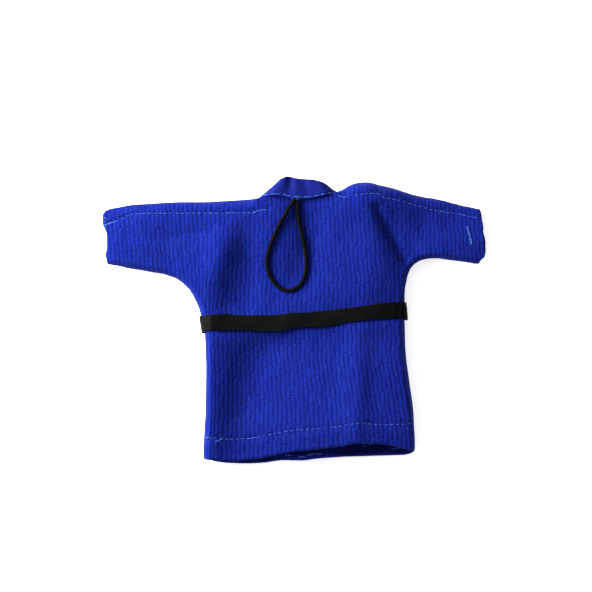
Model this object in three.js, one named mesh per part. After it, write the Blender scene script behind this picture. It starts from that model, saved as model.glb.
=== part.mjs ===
// Small martial arts jacket with a tied belt and a hanging cord, lying flat with its back up.
// Millimetres. +Z up, the table is z = 0. +Y runs from the hem to the collar, +X to the wearer's right.
// The jacket is a flattened tube of thick ribbed cotton: an upper layer (the back), a lower layer
// (two fronts that overlap, wearer's left outermost) and two short sleeves cut wide at the armhole.
import * as THREE from "three";

// ---------------------------------------------------------------- driving dimensions
const CLOTH = 1.2; // cloth thickness
const SEAM_GAP = 0.3; // clear gap kept between two sewn pieces
const SEAM_Z = 2.6; // height of the side and shoulder seams above the table
const SEAM_HALF = 1.4; // from the seam plane to the outer face of either layer
const EDGE_R = 5.0; // how far in from a folded edge the cloth reaches its full height
const SLEEVE_H = 7.0; // height of the back over the sleeves
const BODY_RISE = 5.0; // extra height of the back over the middle of the body
const BODY_X = 5.0; // centre of the body
const HINGE_L = -41.4; // left sleeve fold line
const HINGE_R = 47.4; // right sleeve fold line
const BAND_W = 8.0; // collar and lapel band width
const BAND_T = 1.4; // band thickness, cloth folded double
const BELT_W = 7.0; // ribbon width
const BELT_T = 0.5; // ribbon thickness
const BELT_CLEAR = 0.45; // slack between ribbon and cloth
const BELT_DOWN = 4.0, BELT_UP = 2.0; // how far the belt can be pushed along the body
const KNOT = { x: 3.0, y: -2.0, hx: 6.6, hy: 4.2, z0: 0.0, z1: 1.8 };
const TAIL_L = 31.0; // length of each belt tail
const CORD_D = 1.4; // hanging cord diameter
const LOOP_Y = 48.0, LOOP_Z = 10.2; // where the cord leaves the collar seam
const THREAD_W = 0.5, THREAD_T = 0.3;

// ---------------------------------------------------------------- small helpers
const clamp = (v, a, b) => Math.min(b, Math.max(a, v));
const mix = (a, b, t) => a + (b - a) * t;
const step = (a, b, v) => { const t = clamp((v - a) / (b - a), 0, 1); return t * t * (3 - 2 * t); };
// piecewise linear table
function table(points) {
  return (v) => {
    if (v <= points[0][0]) return points[0][1];
    for (let i = 1; i < points.length; i++)
      if (v <= points[i][0]) {
        const [a, b] = [points[i - 1], points[i]];
        return mix(a[1], b[1], (v - a[0]) / (b[0] - a[0]));
      }
    return points[points.length - 1][1];
  };
}
// distance from a point to a polyline
function toLine(line, x, y) {
  let best = 1e9;
  for (let i = 1; i < line.length; i++) {
    const [ax, ay] = line[i - 1], [bx, by] = line[i];
    const dx = bx - ax, dy = by - ay;
    const t = clamp(((x - ax) * dx + (y - ay) * dy) / (dx * dx + dy * dy), 0, 1);
    best = Math.min(best, Math.hypot(x - ax - t * dx, y - ay - t * dy));
  }
  return best;
}

// ---------------------------------------------------------------- outline, seen from above
const topEdge = [
  [-76.4, 42.0], [-74.2, 44.0], [-67.8, 45.6], [-58.2, 46.4], [-48.6, 46.8], [-35.8, 46.8], [-26.2, 47.4], [-13.8, 48.7],
];
const topEdgeR = [
  [17.8, 51.2], [21.8, 53.6], [25.0, 54.4], [28.2, 54.8], [31.4, 54.4], [37.8, 52.8], [44.2, 51.2], [50.6, 49.2],
  [60.2, 47.2], [69.8, 44.8], [74.6, 43.6],
];
const neckSeam = [[-13.8, 48.3], [-4.2, 48.6], [1.5, 48.0], [5.4, 48.0], [9.2, 48.8], [15.0, 50.2], [17.8, 51.0]];
const leftSide = [
  [-75.0, 22.0], [-71.0, 21.6], [-64.6, 20.0], [-58.2, 19.2], [-51.8, 18.0], [-48.6, 16.8], [-45.4, 14.8], [-42.2, 12.4],
  [-39.8, 9.2], [-38.0, 6.8], [-36.6, 4.6], [-35.8, 2.0], [-35.6, -8.0], [-35.2, -30.0], [-35.8, -46.0], [-36.2, -56.4],
];
const rightSide = [
  [75.6, 24.4], [73.0, 22.4], [66.6, 23.2], [60.2, 24.4], [54.0, 24.4], [50.6, 23.4], [48.6, 21.6], [46.6, 18.6],
  [45.2, 15.0], [44.5, 10.0], [44.4, 0.0], [44.6, -15.0], [45.8, -25.0], [47.4, -38.0], [48.2, -48.0], [48.0, -53.2],
];
const topL = table(topEdge), topR = table(topEdgeR), neckY = table(neckSeam);
const shoulderY = (x) => (x < -13.8 ? topL(x) : x > 17.8 ? topR(x) : neckY(x) - 0.2);
const byY = (line) => table(line.map(([x, y]) => [y, x]).sort((a, b) => a[0] - b[0]));
const sideL = byY(leftSide), sideR = byY(rightSide);
const underL = table(leftSide.filter(([, y]) => y > 12).sort((a, b) => a[0] - b[0]));
const underR = table(rightSide.filter(([, y]) => y > 18).sort((a, b) => a[0] - b[0]));
const bodyL = (y) => Math.max(HINGE_L + 0.2, sideL(y));
const bodyR = (y) => (y > 20 ? HINGE_R - 0.2 : Math.min(HINGE_R - 0.2, sideR(y)));
const cuffL = table([[20, -74.8], [24, -75.0], [36, -75.4], [39, -76.2], [44, -76.4]]);
const cuffR = table([[22, 74.6], [24.4, 76.0], [30.8, 76.4], [34.0, 75.8], [43.6, 74.8]]);
const hemBack = table([
  [-36.2, -55.6], [-15.4, -55.6], [-7.0, -53.4], [1.4, -52.0], [13.8, -51.0], [25.4, -49.4], [32.2, -49.6], [38.2, -50.8],
  [44.2, -52.6], [48.2, -53.0],
]);
const hemFront = table([[-36.2, -56.4], [-26, -57.6], [-13, -57.4], [0, -56.7], [20, -55.3], [38, -54.1], [48.2, -53.4]]);

// ---------------------------------------------------------------- heights of the cloth
const round = (q) => { const r = 1 - clamp(q, 0, 1); return Math.sqrt(Math.max(0, 1 - r * r)); };
const edgeDist = (x, y) => Math.min(toLine(topEdge, x, y), toLine(topEdgeR, x, y), toLine(leftSide, x, y), toLine(rightSide, x, y));
// a soft ridge (or, with a negative height, valley) along a straight line
function ridge(x, y, ax, ay, bx, by, height, sigma) {
  const d = toLine([[ax, ay], [bx, by]], x, y);
  return height * Math.exp(-(d * d) / (2 * sigma * sigma));
}
function folds(x, y) {
  let h = 0;
  if (y > 9) {
    const m = step(9, 16, y);
    h += m * (ridge(x, y, -30, 18, -30, 40, 0.5, 3.5) + ridge(x, y, -21, 38, -23, 12, -1.2, 3.8) +
      ridge(x, y, 2, 46, 7, 30, -0.7, 3.2) + ridge(x, y, 31, 46, 36, 22, 0.7, 3.5) + ridge(x, y, 38, 46, 45, 23, -1.4, 3.2));
  }
  if (y < -12) {
    const m = step(12, 20, -y);
    h += m * (ridge(x, y, -21, -14, -22, -46, -0.7, 4) + ridge(x, y, 26, -18, 26, -52, 1.0, 4.5));
  }
  return h;
}
function backTop(x, y) {
  const q = (x - BODY_X) / 29;
  const plateau = SLEEVE_H + BODY_RISE * Math.exp(-(q ** 4)) * (1 - 0.66 * step(24, 46, y));
  return SEAM_Z + SEAM_HALF + (plateau + folds(x, y) - SEAM_Z - SEAM_HALF) * round(edgeDist(x, y) / EDGE_R);
}
// lowest face of the fronts: on the table round the rim, raised over the belt, its tails and its knot
function frontBottom(x, y) {
  const beltZone = step(17, 13, Math.abs(y)) ;
  const tailZone = step(40, 32, Math.abs(x - KNOT.x)) * step(-47, -41, y) * step(10, 4, y);
  const dome = step(19, 10, Math.abs(x - KNOT.x)) * step(19, 11, Math.abs(y - KNOT.y + 1));
  const rest = 1.2 * Math.max(beltZone, tailZone) + 1.8 * dome;
  const edge = SEAM_Z - SEAM_HALF;
  return edge + (rest - edge) * round(edgeDist(x, y) / EDGE_R);
}

// ---------------------------------------------------------------- lapel lines
// free edge of the outer (left) lapel and of the inner (right) lapel, as x at a height y
const freeL = table([[-60, 14.5], [-4, 13.2], [2, 12.4], [43, -5.2], [60, -12]]);
const freeR = table([[-60, -9.6], [-4, -9.2], [2, -8.4], [43, 8.6], [60, 15]]);
const lift = (x, y) => (BAND_T + 0.4) * step(freeL(y) + 7.0, freeL(y) + 1.6, x) * step(52, 44, y);

// ---------------------------------------------------------------- shapes
// a box of nu by nv by nw cells, each vertex moved by place(u, v, w), all from 0 to 1
function warpedBox(nu, nv, nw, place) {
  const g = new THREE.BoxGeometry(1, 1, 1, nu, nv, nw);
  const p = g.getAttribute("position");
  for (let i = 0; i < p.count; i++) {
    const [x, y, z] = place(p.getX(i) + 0.5, p.getY(i) + 0.5, p.getZ(i) + 0.5);
    p.setXYZ(i, x, y, z);
  }
  g.deleteAttribute("uv");
  g.deleteAttribute("normal");
  return g;
}
// a sheet of cloth between two x limits and two y limits, with a lower and an upper face
function sheet(nu, nv, x0, x1, y0, y1, low, high) {
  return warpedBox(nu, nv, 1, (u, v, w) => {
    let x = mix(x0(0), x1(0), u), y = mix(y0(x), y1(x), v);
    for (let k = 0; k < 40; k++) {
      x = mix(x, mix(x0(y), x1(y), u), 0.5);
      y = mix(y, mix(y0(x), y1(x), v), 0.5);
    }
    return [x, y, w < 0.5 ? low(x, y) : high(x, y)];
  });
}
// a flat strip of a width and thickness along stations {p, w, n}: centre, width direction, face direction
function strip(stations, width, thick) {
  const n = stations.length - 1;
  return warpedBox(1, n, 1, (u, v, w) => {
    const s = stations[Math.round(v * n)];
    const a = (u - 0.5) * (s.width ?? width), b = (w - 0.5) * thick;
    return [s.p.x + s.w.x * a + s.n.x * b, s.p.y + s.w.y * a + s.n.y * b, s.p.z + s.w.z * a + s.n.z * b];
  });
}
const V = (x, y, z) => new THREE.Vector3(x, y, z);

const group = new THREE.Group();
const COTTON = { color: 0x1e2f9f, roughness: 0.9, metalness: 0 };
const POPLIN = { color: 0x2536a0, roughness: 0.7, metalness: 0 };
const RIBBON = { color: 0x141414, roughness: 0.6, metalness: 0 };
const CORD = { color: 0x0e0e0e, roughness: 0.8, metalness: 0 };
const THREAD = { color: 0x6f9be8, roughness: 0.6, metalness: 0 };
function add(name, geometry, look) {
  const mesh = new THREE.Mesh(geometry, new THREE.MeshStandardMaterial(look));
  mesh.name = name;
  group.add(mesh);
  return mesh;
}

// ---------------------------------------------------------------- cloth panels
add("back_panel", sheet(22, 24, bodyL, bodyR, hemBack, shoulderY, (x, y) => backTop(x, y) - CLOTH, backTop), COTTON);

const innerL = (y) => freeL(y) - (y < 0 ? BAND_W : mix(BAND_W, BAND_W * 1.1, step(0, 6, y))) - SEAM_GAP - 0.2;
const innerR = (y) => freeR(y) + (y < 0 ? BAND_W : mix(BAND_W, BAND_W * 1.1, step(0, 6, y))) + SEAM_GAP + 0.4;
add("left_front_panel",
  sheet(12, 24, bodyL, innerL, hemFront, (x) => Math.min(shoulderY(x), 48.3), frontBottom, (x, y) => frontBottom(x, y) + CLOTH), COTTON);
add("right_front_panel",
  sheet(14, 24, innerR, bodyR, hemFront, (x) => (x < 17.8 ? 48.5 : shoulderY(x)), (x, y) => frontBottom(x, y) + lift(x, y),
    (x, y) => frontBottom(x, y) + lift(x, y) + CLOTH), COTTON);

// ---------------------------------------------------------------- sleeves, each a back half and a front half
const sleeveTopL = (x) => topL(x), sleeveTopR = (x) => topR(x);
const hl = () => HINGE_L - 0.2, hr = () => HINGE_R + 0.2;
add("left_sleeve_back", sheet(9, 9, cuffL, hl, underL, sleeveTopL, (x, y) => backTop(x, y) - CLOTH, backTop), COTTON);
add("left_sleeve_front", sheet(9, 9, cuffL, hl, underL, sleeveTopL, frontBottom, (x, y) => frontBottom(x, y) + CLOTH), COTTON);
add("right_sleeve_back", sheet(8, 9, hr, cuffR, underR, sleeveTopR, (x, y) => backTop(x, y) - CLOTH, backTop), COTTON);
add("right_sleeve_front", sheet(8, 9, hr, cuffR, underR, sleeveTopR, frontBottom, (x, y) => frontBottom(x, y) + CLOTH), COTTON);

// ---------------------------------------------------------------- collar and lapel band, one strip round the neck
{
  // stations from the left hem up the left lapel, round the back of the neck and down the right lapel:
  // e is the sewn edge, w points across the band to its free edge
  const keys = [];
  const lapel = (y, side) => {
    const free = side < 0 ? freeL : freeR;
    const slope = (free(y + 3) - free(y - 3)) / 6;
    const t = V(slope, 1, 0).normalize();
    const w = side < 0 ? V(t.y, -t.x, 0) : V(-t.y, t.x, 0);
    const e = V(free(y), y, 0).addScaledVector(w, -BAND_W);
    if (y < -50) {
      e.y = hemFront(e.x) + 0.1;
      w.set(Math.sign(w.x), 0, 0);
    }
    return { e, w, side };
  };
  const rows = [-57, -52, -47, -42, -37, -32, -27, -22.5, -19.5, -16.5, -13.5, -10.5, -7.5, -4, -1, 2, 5, 8, 11, 14, 17, 20, 24, 28, 32, 36, 40];
  for (const y of rows) keys.push(lapel(y, -1));
  // round the neck each station is its sewn edge and its free edge
  const neck = [
    [-13.0, 42.6, 0.9, -5.6, 45.6, 0.9], [-13.9, 46.2, 1.3, -6.8, 50.0, 1.2], [-14.0, 49.4, 2.7, -7.4, 53.0, 2.4],
    [-13.2, 50.1, 5.0, -7.6, 54.8, 4.6], [-11.4, 49.7, 7.1, -6.9, 56.0, 6.6], [-8.2, 49.0, 8.1, -5.2, 56.4, 7.9],
    [-4.2, 49.0, 8.3, -3.4, 56.7, 8.3], [-1.4, 48.7, 8.3, -0.8, 56.7, 8.4], [1.5, 48.4, 8.3, 1.8, 56.3, 8.4],
    [5.4, 48.4, 8.3, 4.8, 56.2, 8.4], [8.6, 49.0, 8.2, 7.2, 56.4, 8.3], [11.6, 49.9, 8.0, 9.0, 56.2, 7.9],
    [14.4, 50.9, 7.0, 10.4, 55.6, 6.6], [16.4, 51.9, 5.0, 11.3, 54.6, 4.6], [17.0, 52.2, 2.9, 11.4, 53.0, 2.4],
    [17.8, 48.8, 1.3, 10.8, 51.2, 1.2], [17.2, 44.6, 0.9, 9.7, 47.2, 0.9],
  ];
  for (const [x, y, z, fx, fy, fz] of neck) {
    const e = V(x, y, z), w = V(fx, fy, fz).sub(e);
    keys.push({ e, w, side: 0, width: w.length() });
    w.normalize();
  }
  for (const y of rows.slice().reverse()) keys.push(lapel(y, 1));
  keys.forEach((s) => (s.p = s.e.clone().addScaledVector(s.w, (s.width ?? BAND_W) / 2)));
  keys.forEach((s, i) => {
    if (s.side) return;
    const t = keys[i + 1].p.clone().sub(keys[i - 1].p).normalize();
    s.n = new THREE.Vector3().crossVectors(s.w, t).normalize();
  });
  const n = keys.length - 1;
  add("collar_band", warpedBox(2, n, 1, (u, v, w) => {
    const s = keys[Math.round(v * n)];
    const q = s.p.clone().addScaledVector(s.w, (u - 0.5) * (s.width ?? BAND_W));
    if (s.side) {
      const low = frontBottom(q.x, q.y) + (s.side > 0 ? lift(q.x, q.y) : 0);
      return [q.x, q.y, w > 0.5 ? low + BAND_T : low];
    }
    q.addScaledVector(s.n, (w - 0.5) * BAND_T);
    return [q.x, q.y, q.z];
  }), POPLIN);
}

// ---------------------------------------------------------------- belt: a ribbon round the body, its knot and two tails
const beltYBack = table([[-38, -2.2], [-27.8, -1.2], [-17, -1.4], [-6.2, -1.7], [2.6, -0.5], [11.4, 0.4], [23, 1.9], [31.8, 2.8], [46, 3.5]]);
const beltYFront = table([[-38, -2.2], [3, -1.6], [46, 3.5]]);
{
  const over = (x) => { let m = 0; for (let y = -10.5; y <= 9.6; y += 0.5) m = Math.max(m, backTop(x, y)); return m; };
  const under = (x) => { let m = 9; for (let y = -10.5; y <= 9.6; y += 0.5) m = Math.min(m, frontBottom(x, y)); return m; };
  const xl = Math.min(...[-11, -5, 0, 3.4].map(sideL)) - 0.65, xr = Math.max(...[-9, 0, 5, 9, 11].map(sideR)) + 0.75;
  const pts = [];
  for (let x = 43.4; x >= -34.0; x -= 2.58) pts.push([x, over(x) + BELT_CLEAR, beltYBack(x)]);
  pts.push([xl + 0.9, 5.9, -2.2], [xl + 0.05, 4.4, -2.2], [xl, 3.0, -2.2], [xl + 0.05, 1.4, -2.2], [xl + 0.9, 0.66, -2.2]);
  for (let x = -33.4; x <= 43; x += 2.54) {
    const nearKnot = step(12.5, 9.0, Math.abs(x - KNOT.x));
    pts.push([x, mix(0.6, KNOT.z1 + 0.35 + BELT_T, nearKnot), beltYFront(x)]);
  }
  pts.push([xr - 0.9, 0.66, 3.5], [xr - 0.05, 1.4, 3.5], [xr, 3.0, 3.5], [xr - 0.05, 4.4, 3.5], [xr - 0.9, 5.9, 3.5]);
  const curve = new THREE.CatmullRomCurve3(pts.map(([x, z, y]) => V(x, y, z)), true, "centripetal");
  const N = 96;
  const ring = [];
  for (let i = 0; i < N; i++) {
    const p = curve.getPointAt(i / N), t = curve.getTangentAt(i / N);
    const n = V(-t.z, 0, t.x).normalize(); // outward in the XZ plane
    ring.push({ p, n });
  }
  const sign = ring[0].n.z > 0 ? 1 : -1;
  // a torus of four-sided section, its rings moved to the ribbon's stations
  const g = new THREE.TorusGeometry(10, 1, 4, N);
  const pos = g.getAttribute("position"), uv = g.getAttribute("uv");
  for (let i = 0; i < pos.count; i++) {
    const k = Math.round(uv.getX(i) * N) % N, j = Math.round(uv.getY(i) * 4) % 4;
    const s = ring[k];
    const a = [-1, 1, 1, -1][j] * BELT_W / 2, b = [0, 0, 1, 1][j] * BELT_T * sign;
    pos.setXYZ(i, s.p.x + s.n.x * b, s.p.y + a, s.p.z + s.n.z * b);
  }
  g.deleteAttribute("uv");
  g.deleteAttribute("normal");
  add("belt_wrap", g, RIBBON);
}
{
  // the knot: a low cushion, squarish from above, pinched at its middle
  const g = new THREE.SphereGeometry(1, 20, 10);
  const p = g.getAttribute("position");
  for (let i = 0; i < p.count; i++) {
    const d = V(p.getX(i), p.getY(i), p.getZ(i));
    const e = (c) => Math.sign(c) * Math.abs(c) ** 0.62;
    const pinch = 1 - 0.16 * Math.exp(-((e(d.x) / 0.35) ** 2));
    p.setXYZ(i, KNOT.x + KNOT.hx * e(d.x), KNOT.y + KNOT.hy * e(d.z) * pinch, mix(KNOT.z0, KNOT.z1, 0.5 + 0.5 * e(d.y)));
  }
  g.rotateX(0);
  g.deleteAttribute("uv");
  g.deleteAttribute("normal");
  g.index.array.reverse(); // the y and z swap turned the faces in
  add("belt_knot", g, RIBBON);
}
function tail(side) {
  const root = V(KNOT.x + side * 3.4, KNOT.y - KNOT.hy - 0.5, 0.4);
  const a = side * (24 * Math.PI) / 180, st = [];
  for (let i = 0; i <= 14; i++) {
    const s = (i / 14) * TAIL_L, bend = side * 0.0022 * s * s;
    const dir = V(Math.sin(a), -Math.cos(a), 0), out = V(Math.cos(a), Math.sin(a), 0);
    const p = root.clone().addScaledVector(dir, s).addScaledVector(out, bend);
    st.push({ p, w: out, n: V(0, 0, 1), width: mix(2.2, BELT_W, step(0, 7, s)) });
  }
  st.forEach((s, i) => {
    const t = st[Math.min(i + 1, 14)].p.clone().sub(st[Math.max(i - 1, 0)].p).normalize();
    s.w = V(t.y, -t.x, 0);
  });
  return strip(st, BELT_W, BELT_T);
}
add("belt_tail_left", tail(-1), RIBBON);
add("belt_tail_right", tail(1), RIBBON);

// ---------------------------------------------------------------- hanging cord, both ends sewn into the collar seam
{
  const plan = [
    [-0.5, 47.5], [-1.5, 45.2], [-2.6, 43.6], [-4.6, 39.9], [-6.8, 36.0], [-9.1, 31.1], [-10.5, 26.1], [-10.9, 22.3], [-9.9, 18.4],
    [-8.4, 14.6], [-6.1, 12.3], [-3.0, 11.6], [0.0, 12.1], [2.7, 14.2], [4.6, 17.7], [5.0, 21.5], [4.8, 25.3], [4.0, 29.2],
    [3.1, 33.0], [2.2, 36.8], [1.7, 40.6], [1.5, 44.5], [1.5, 47.5],
  ];
  const pts = plan.map(([x, y]) => V(x, y, y > 47 ? LOOP_Z : backTop(x, y) + CORD_D / 2 + 0.55));
  const path = new THREE.CatmullRomCurve3(pts, false, "centripetal");
  const round8 = new THREE.Shape();
  for (let k = 0; k <= 8; k++) {
    const a = (k / 8) * 2 * Math.PI;
    k ? round8.lineTo(Math.cos(a) * CORD_D / 2, Math.sin(a) * CORD_D / 2) : round8.moveTo(CORD_D / 2, 0);
  }
  const g = new THREE.ExtrudeGeometry(round8, { steps: 40, extrudePath: path, bevelEnabled: false });
  g.deleteAttribute("uv");
  g.deleteAttribute("normal");
  add("hanging_loop", g, CORD);
  // the tack: a short thread bar over the cord's two ends in the seam
  add("loop_tack", warpedBox(4, 2, 2, (u, v, w) => {
    const r = 1 - 0.25 * Math.abs(2 * u - 1);
    return [0.5 + (u - 0.5) * 4.6, LOOP_Y - 0.35 + (v - 0.5) * 0.8 * r, 8.75 + w * 0.4 * r];
  }), THREAD);
}

// ---------------------------------------------------------------- thread runs, each a thin raised line on the cloth
function thread(name, plan, height, n, gap = 0.38) {
  const path = new THREE.CatmullRomCurve3(plan.map(([x, y]) => V(x, y, 0)), false, "centripetal");
  const st = [];
  for (let i = 0; i <= n; i++) {
    const p = path.getPointAt(i / n), t = path.getTangentAt(i / n);
    p.z = height(p.x, p.y) + gap + THREAD_T / 2;
    st.push({ p, w: V(t.y, -t.x, 0).normalize(), n: V(0, 0, 1) });
  }
  add(name, strip(st, THREAD_W, THREAD_T), THREAD);
}
const top = (x, y) => backTop(x, y);
thread("shoulder_thread_left", [[-39.0, 42.6], [-32, 42.4], [-24, 42.2], [-16.5, 42.4], [-11.2, 44.2]], top, 16);
thread("shoulder_thread_right", [[17.6, 48.4], [20.6, 47.8], [23.4, 48.8], [30.3, 49.8], [33, 50.0], [38, 49.0], [42.4, 48.0], [46.8, 46.4]], top, 18);
thread("sleeve_thread_left", [[-75.2, 39.6], [-72.2, 40.1], [-68.4, 41.0], [-63.6, 41.8], [-59.2, 42.2], [-54.2, 42.4], [-47.2, 42.6], [-42.0, 42.6]], top, 16);
thread("sleeve_thread_right", [[48.0, 45.8], [52.6, 44.4], [59.6, 43.5], [64.8, 42.6], [70.6, 41.2], [74.2, 40.5]], top, 14);
thread("hem_thread_back", [[-34.4, -46.8], [-26.6, -47.4], [-18.2, -47.8], [-14.6, -47.2], [-9.6, -45.8], [3.8, -43.9], [13.8, -43.4], [19.8, -42.5], [25.4, -41.1], [32.2, -41.6], [38.2, -41.8], [46.4, -41.9]], top, 30);
thread("collar_seam_thread", [[-10.4, 50.0], [-6, 50.6], [-2.3, 50.2], [1.5, 49.8], [5.4, 49.8], [9.2, 50.6], [13.0, 51.2]], () => 9.0, 14, 0.12);
thread("cuff_tack_right", [[70.0, 38.4], [70.8, 35.6], [71.4, 33.0], [72.2, 30.4]], top, 5);

const lowF = (x, y) => frontBottom(x, y) + lift(x, y) * (x > 12 ? 1 : 0) + CLOTH;
thread("hem_thread_left_front", [[-34.0, -48.6], [-26, -49.0], [-18, -49.2], [-11, -49.1]], lowF, 14, 0.55);
thread("hem_thread_right_front", [[18.8, -48.0], [28, -47.2], [38, -46.4], [46.0, -45.8]], lowF, 14, 0.55);

export { backTop, frontBottom };
export default group;
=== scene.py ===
import math
import bmesh
import bpy
import numpy as np
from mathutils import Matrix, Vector


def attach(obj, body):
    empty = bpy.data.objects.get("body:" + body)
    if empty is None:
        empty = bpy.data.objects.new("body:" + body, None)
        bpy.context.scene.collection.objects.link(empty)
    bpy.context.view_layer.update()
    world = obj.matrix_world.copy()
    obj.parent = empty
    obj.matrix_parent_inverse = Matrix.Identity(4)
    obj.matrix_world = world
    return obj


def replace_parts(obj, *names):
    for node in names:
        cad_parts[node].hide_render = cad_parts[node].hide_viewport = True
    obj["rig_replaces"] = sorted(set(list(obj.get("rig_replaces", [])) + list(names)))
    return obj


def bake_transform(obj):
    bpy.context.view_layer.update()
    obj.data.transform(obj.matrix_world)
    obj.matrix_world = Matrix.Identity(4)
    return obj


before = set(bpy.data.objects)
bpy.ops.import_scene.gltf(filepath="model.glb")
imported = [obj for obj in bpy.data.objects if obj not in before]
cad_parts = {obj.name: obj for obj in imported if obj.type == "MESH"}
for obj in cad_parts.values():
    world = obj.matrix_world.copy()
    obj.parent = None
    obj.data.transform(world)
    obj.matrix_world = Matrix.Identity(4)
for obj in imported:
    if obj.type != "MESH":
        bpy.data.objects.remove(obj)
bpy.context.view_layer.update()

# All shapes are worked out in millimetres in the CAD frame and written in metres.
MM = 0.001
SEAM_Z = 2.6       # height of the side and shoulder seams
R_EDGE = 3.9       # how far in from a folded edge the cloth reaches its full height
PITCH = 1.72       # rib pitch
GRAIN = 5.0        # length of one float of the weave along a rib
RIB = 0.058         # rib relief
CLOTH = 1.15
HINGE_L, HINGE_R = -41.4, 47.4
rng = np.random.default_rng(7)


def P(col, row):
    """Plan grid of 0.4 mm steps to mm."""
    return ((col - 293.5) * 0.4, (319.0 - row) * 0.4)


def smooth(a, b, v):
    t = np.clip((np.asarray(v, float) - a) / (b - a), 0, 1)
    return t * t * (3 - 2 * t)


def curve(points):
    """A monotone cubic through (x, y) points, held flat outside them."""
    xs, ys = np.array([p[0] for p in points], float), np.array([p[1] for p in points], float)
    d = np.diff(ys) / np.diff(xs)
    m = np.zeros_like(ys)
    if len(xs) > 2:
        same = d[:-1] * d[1:] > 0
        m[1:-1] = np.where(same, 2 * d[:-1] * d[1:] / np.where(same, d[:-1] + d[1:], 1), 0)
    m[0], m[-1] = d[0], d[-1]

    def f(x):
        x = np.clip(np.asarray(x, float), xs[0], xs[-1])
        i = np.clip(np.searchsorted(xs, x) - 1, 0, len(xs) - 2)
        h = xs[i + 1] - xs[i]
        t = (x - xs[i]) / h
        return ((1 + 2 * t) * (1 - t) ** 2 * ys[i] + t * (1 - t) ** 2 * h * m[i]
                + t * t * (3 - 2 * t) * ys[i + 1] + t * t * (t - 1) * h * m[i + 1])
    return f


def catmull(points, n):
    """n points evenly spaced along a smooth line through the given ones."""
    p = np.array(points, float)
    q = np.vstack([2 * p[0] - p[1], p, 2 * p[-1] - p[-2]])
    out = []
    for i in range(1, len(q) - 2):
        t = np.linspace(0, 1, 25)[:, None][: 24 if i < len(q) - 3 else 25]
        a, b, c, d = q[i - 1], q[i], q[i + 1], q[i + 2]
        out.append(0.5 * (2 * b + (c - a) * t + (2 * a - 5 * b + 4 * c - d) * t ** 2 + (3 * b - a - 3 * c + d) * t ** 3))
    line = np.vstack(out)
    s = np.concatenate([[0], np.cumsum(np.linalg.norm(np.diff(line, axis=0), axis=1))])
    at = np.linspace(0, s[-1], n)
    return np.stack([np.interp(at, s, line[:, k]) for k in range(line.shape[1])], axis=1)


# ------------------------------------------------------------------ outline from above
TOP_L = [(-82, 43.5), (-76.2, 43.5), (-73.8, 44.3), (-71.4, 44.8), (-69, 45.2), (-66.6, 45.7), (-64.2, 46.0), (-59.4, 46.3), (-54.6, 46.6), (-49.8, 46.9), (-45, 47.05),
         (-40.2, 47.05), (-35.4, 47.05), (-30.6, 47.35), (-25.8, 47.6), (-21, 47.9), (-16.2, 48.3), (-12.8, 49.0)]
TOP_R = [(15.4, 50.5), (17.2, 51.1), (19.8, 52.1), (22.2, 53.6), (24.6, 54.5), (27, 54.9), (29.4, 55.0), (31.8, 54.6), (34.2, 53.9), (36.6, 53.4), (39, 52.8), (41.4, 52.1), (43.8, 51.3), (46.2, 50.5),
         (48.6, 49.8), (51, 49.3), (53.4, 48.8), (55.8, 48.5), (58.2, 48.0), (60.6, 47.5), (63, 46.8), (65.4, 46.2), (67.8, 45.5), (70.2, 45.1), (72.6, 44.6), (75, 44.2), (82, 44.0)]
UNDER_L = [(-82, 22.0), (-74.6, 22.0), (-71.4, 21.7), (-69, 21.2), (-66.6, 20.6), (-61.8, 19.9), (-57, 19.0), (-52.2, 18.2), (-49.8, 17.4), (-47.4, 16.5), (-45.2, 15.1), (-43.7, 13.7),
           (-42.1, 12.1), (-40.6, 9.8), (-39.5, 7.7), (-38.1, 4.6)]
SIDE_L = [(4.6, -38.1), (2.0, -37.35), (0, -36.8), (-3, -36.15), (-6.8, -35.65), (-12, -35.4), (-20, -35.2), (-26, -35.25), (-38, -35.45), (-43, -35.8), (-48, -36.05), (-52, -36.3), (-57, -36.2)]
UNDER_R = [(45.1, 15.0), (45.5, 17.2), (46.3, 19.4), (47.2, 21.0), (48.6, 22.4), (50.6, 23.6), (52.6, 24.2), (54.6, 24.5), (56.6, 24.6), (58.6, 24.5), (60.6, 24.2), (62.6, 23.9), (66.6, 23.4),
           (70.6, 22.8), (73.0, 22.4), (82, 22.4)]
SIDE_R = [(15.0, 45.1), (12.4, 44.6), (8, 44.4), (0, 44.4), (-7, 44.55), (-11.6, 44.7), (-16.4, 45.1), (-21.2, 45.75), (-26, 46.4), (-33.2, 47.45), (-38, 47.95), (-42.8, 48.15), (-48, 48.45), (-51, 48.5), (-54, 48.2)]
NECK = curve([(-12.8, 49.0), (-11.4, 49.2), (-8.6, 49.9), (-5.4, 50.1), (-2.6, 49.3), (1.4, 48.9), (5.8, 49.0), (9.4, 49.6), (12.6, 50.1), (15.4, 50.5)])
HEM_B = curve([(-36.4, -55.4), (-30, -55.7), (-24, -55.8), (-16, -55.3), (-9.4, -54.0), (-1.4, -52.4), (10.6, -51.1), (20.6, -49.7), (25.4, -48.7),
               (32.6, -48.9), (38.6, -49.7), (44.0, -51.0), (48.8, -51.9)])
HEM_F = curve([(-36.4, -54.9), (-33, -55.9), (-30.6, -56.4), (-25.8, -56.9), (-18.6, -57.1), (-11.4, -56.7), (-9, -56.3), (-4.2, -55.8), (3, -55.8), (10.2, -55.0), (19.8, -54.4),
               (24.6, -54.3), (34.2, -54.0), (43.8, -53.7), (46.2, -53.4), (48.0, -52.8), (48.9, -52.0)])
top_l, top_r, under_l, under_r = curve(TOP_L), curve(TOP_R), curve(UNDER_L), curve(UNDER_R)
side_l, side_r = curve(SIDE_L[::-1]), curve(SIDE_R[::-1])
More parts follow.
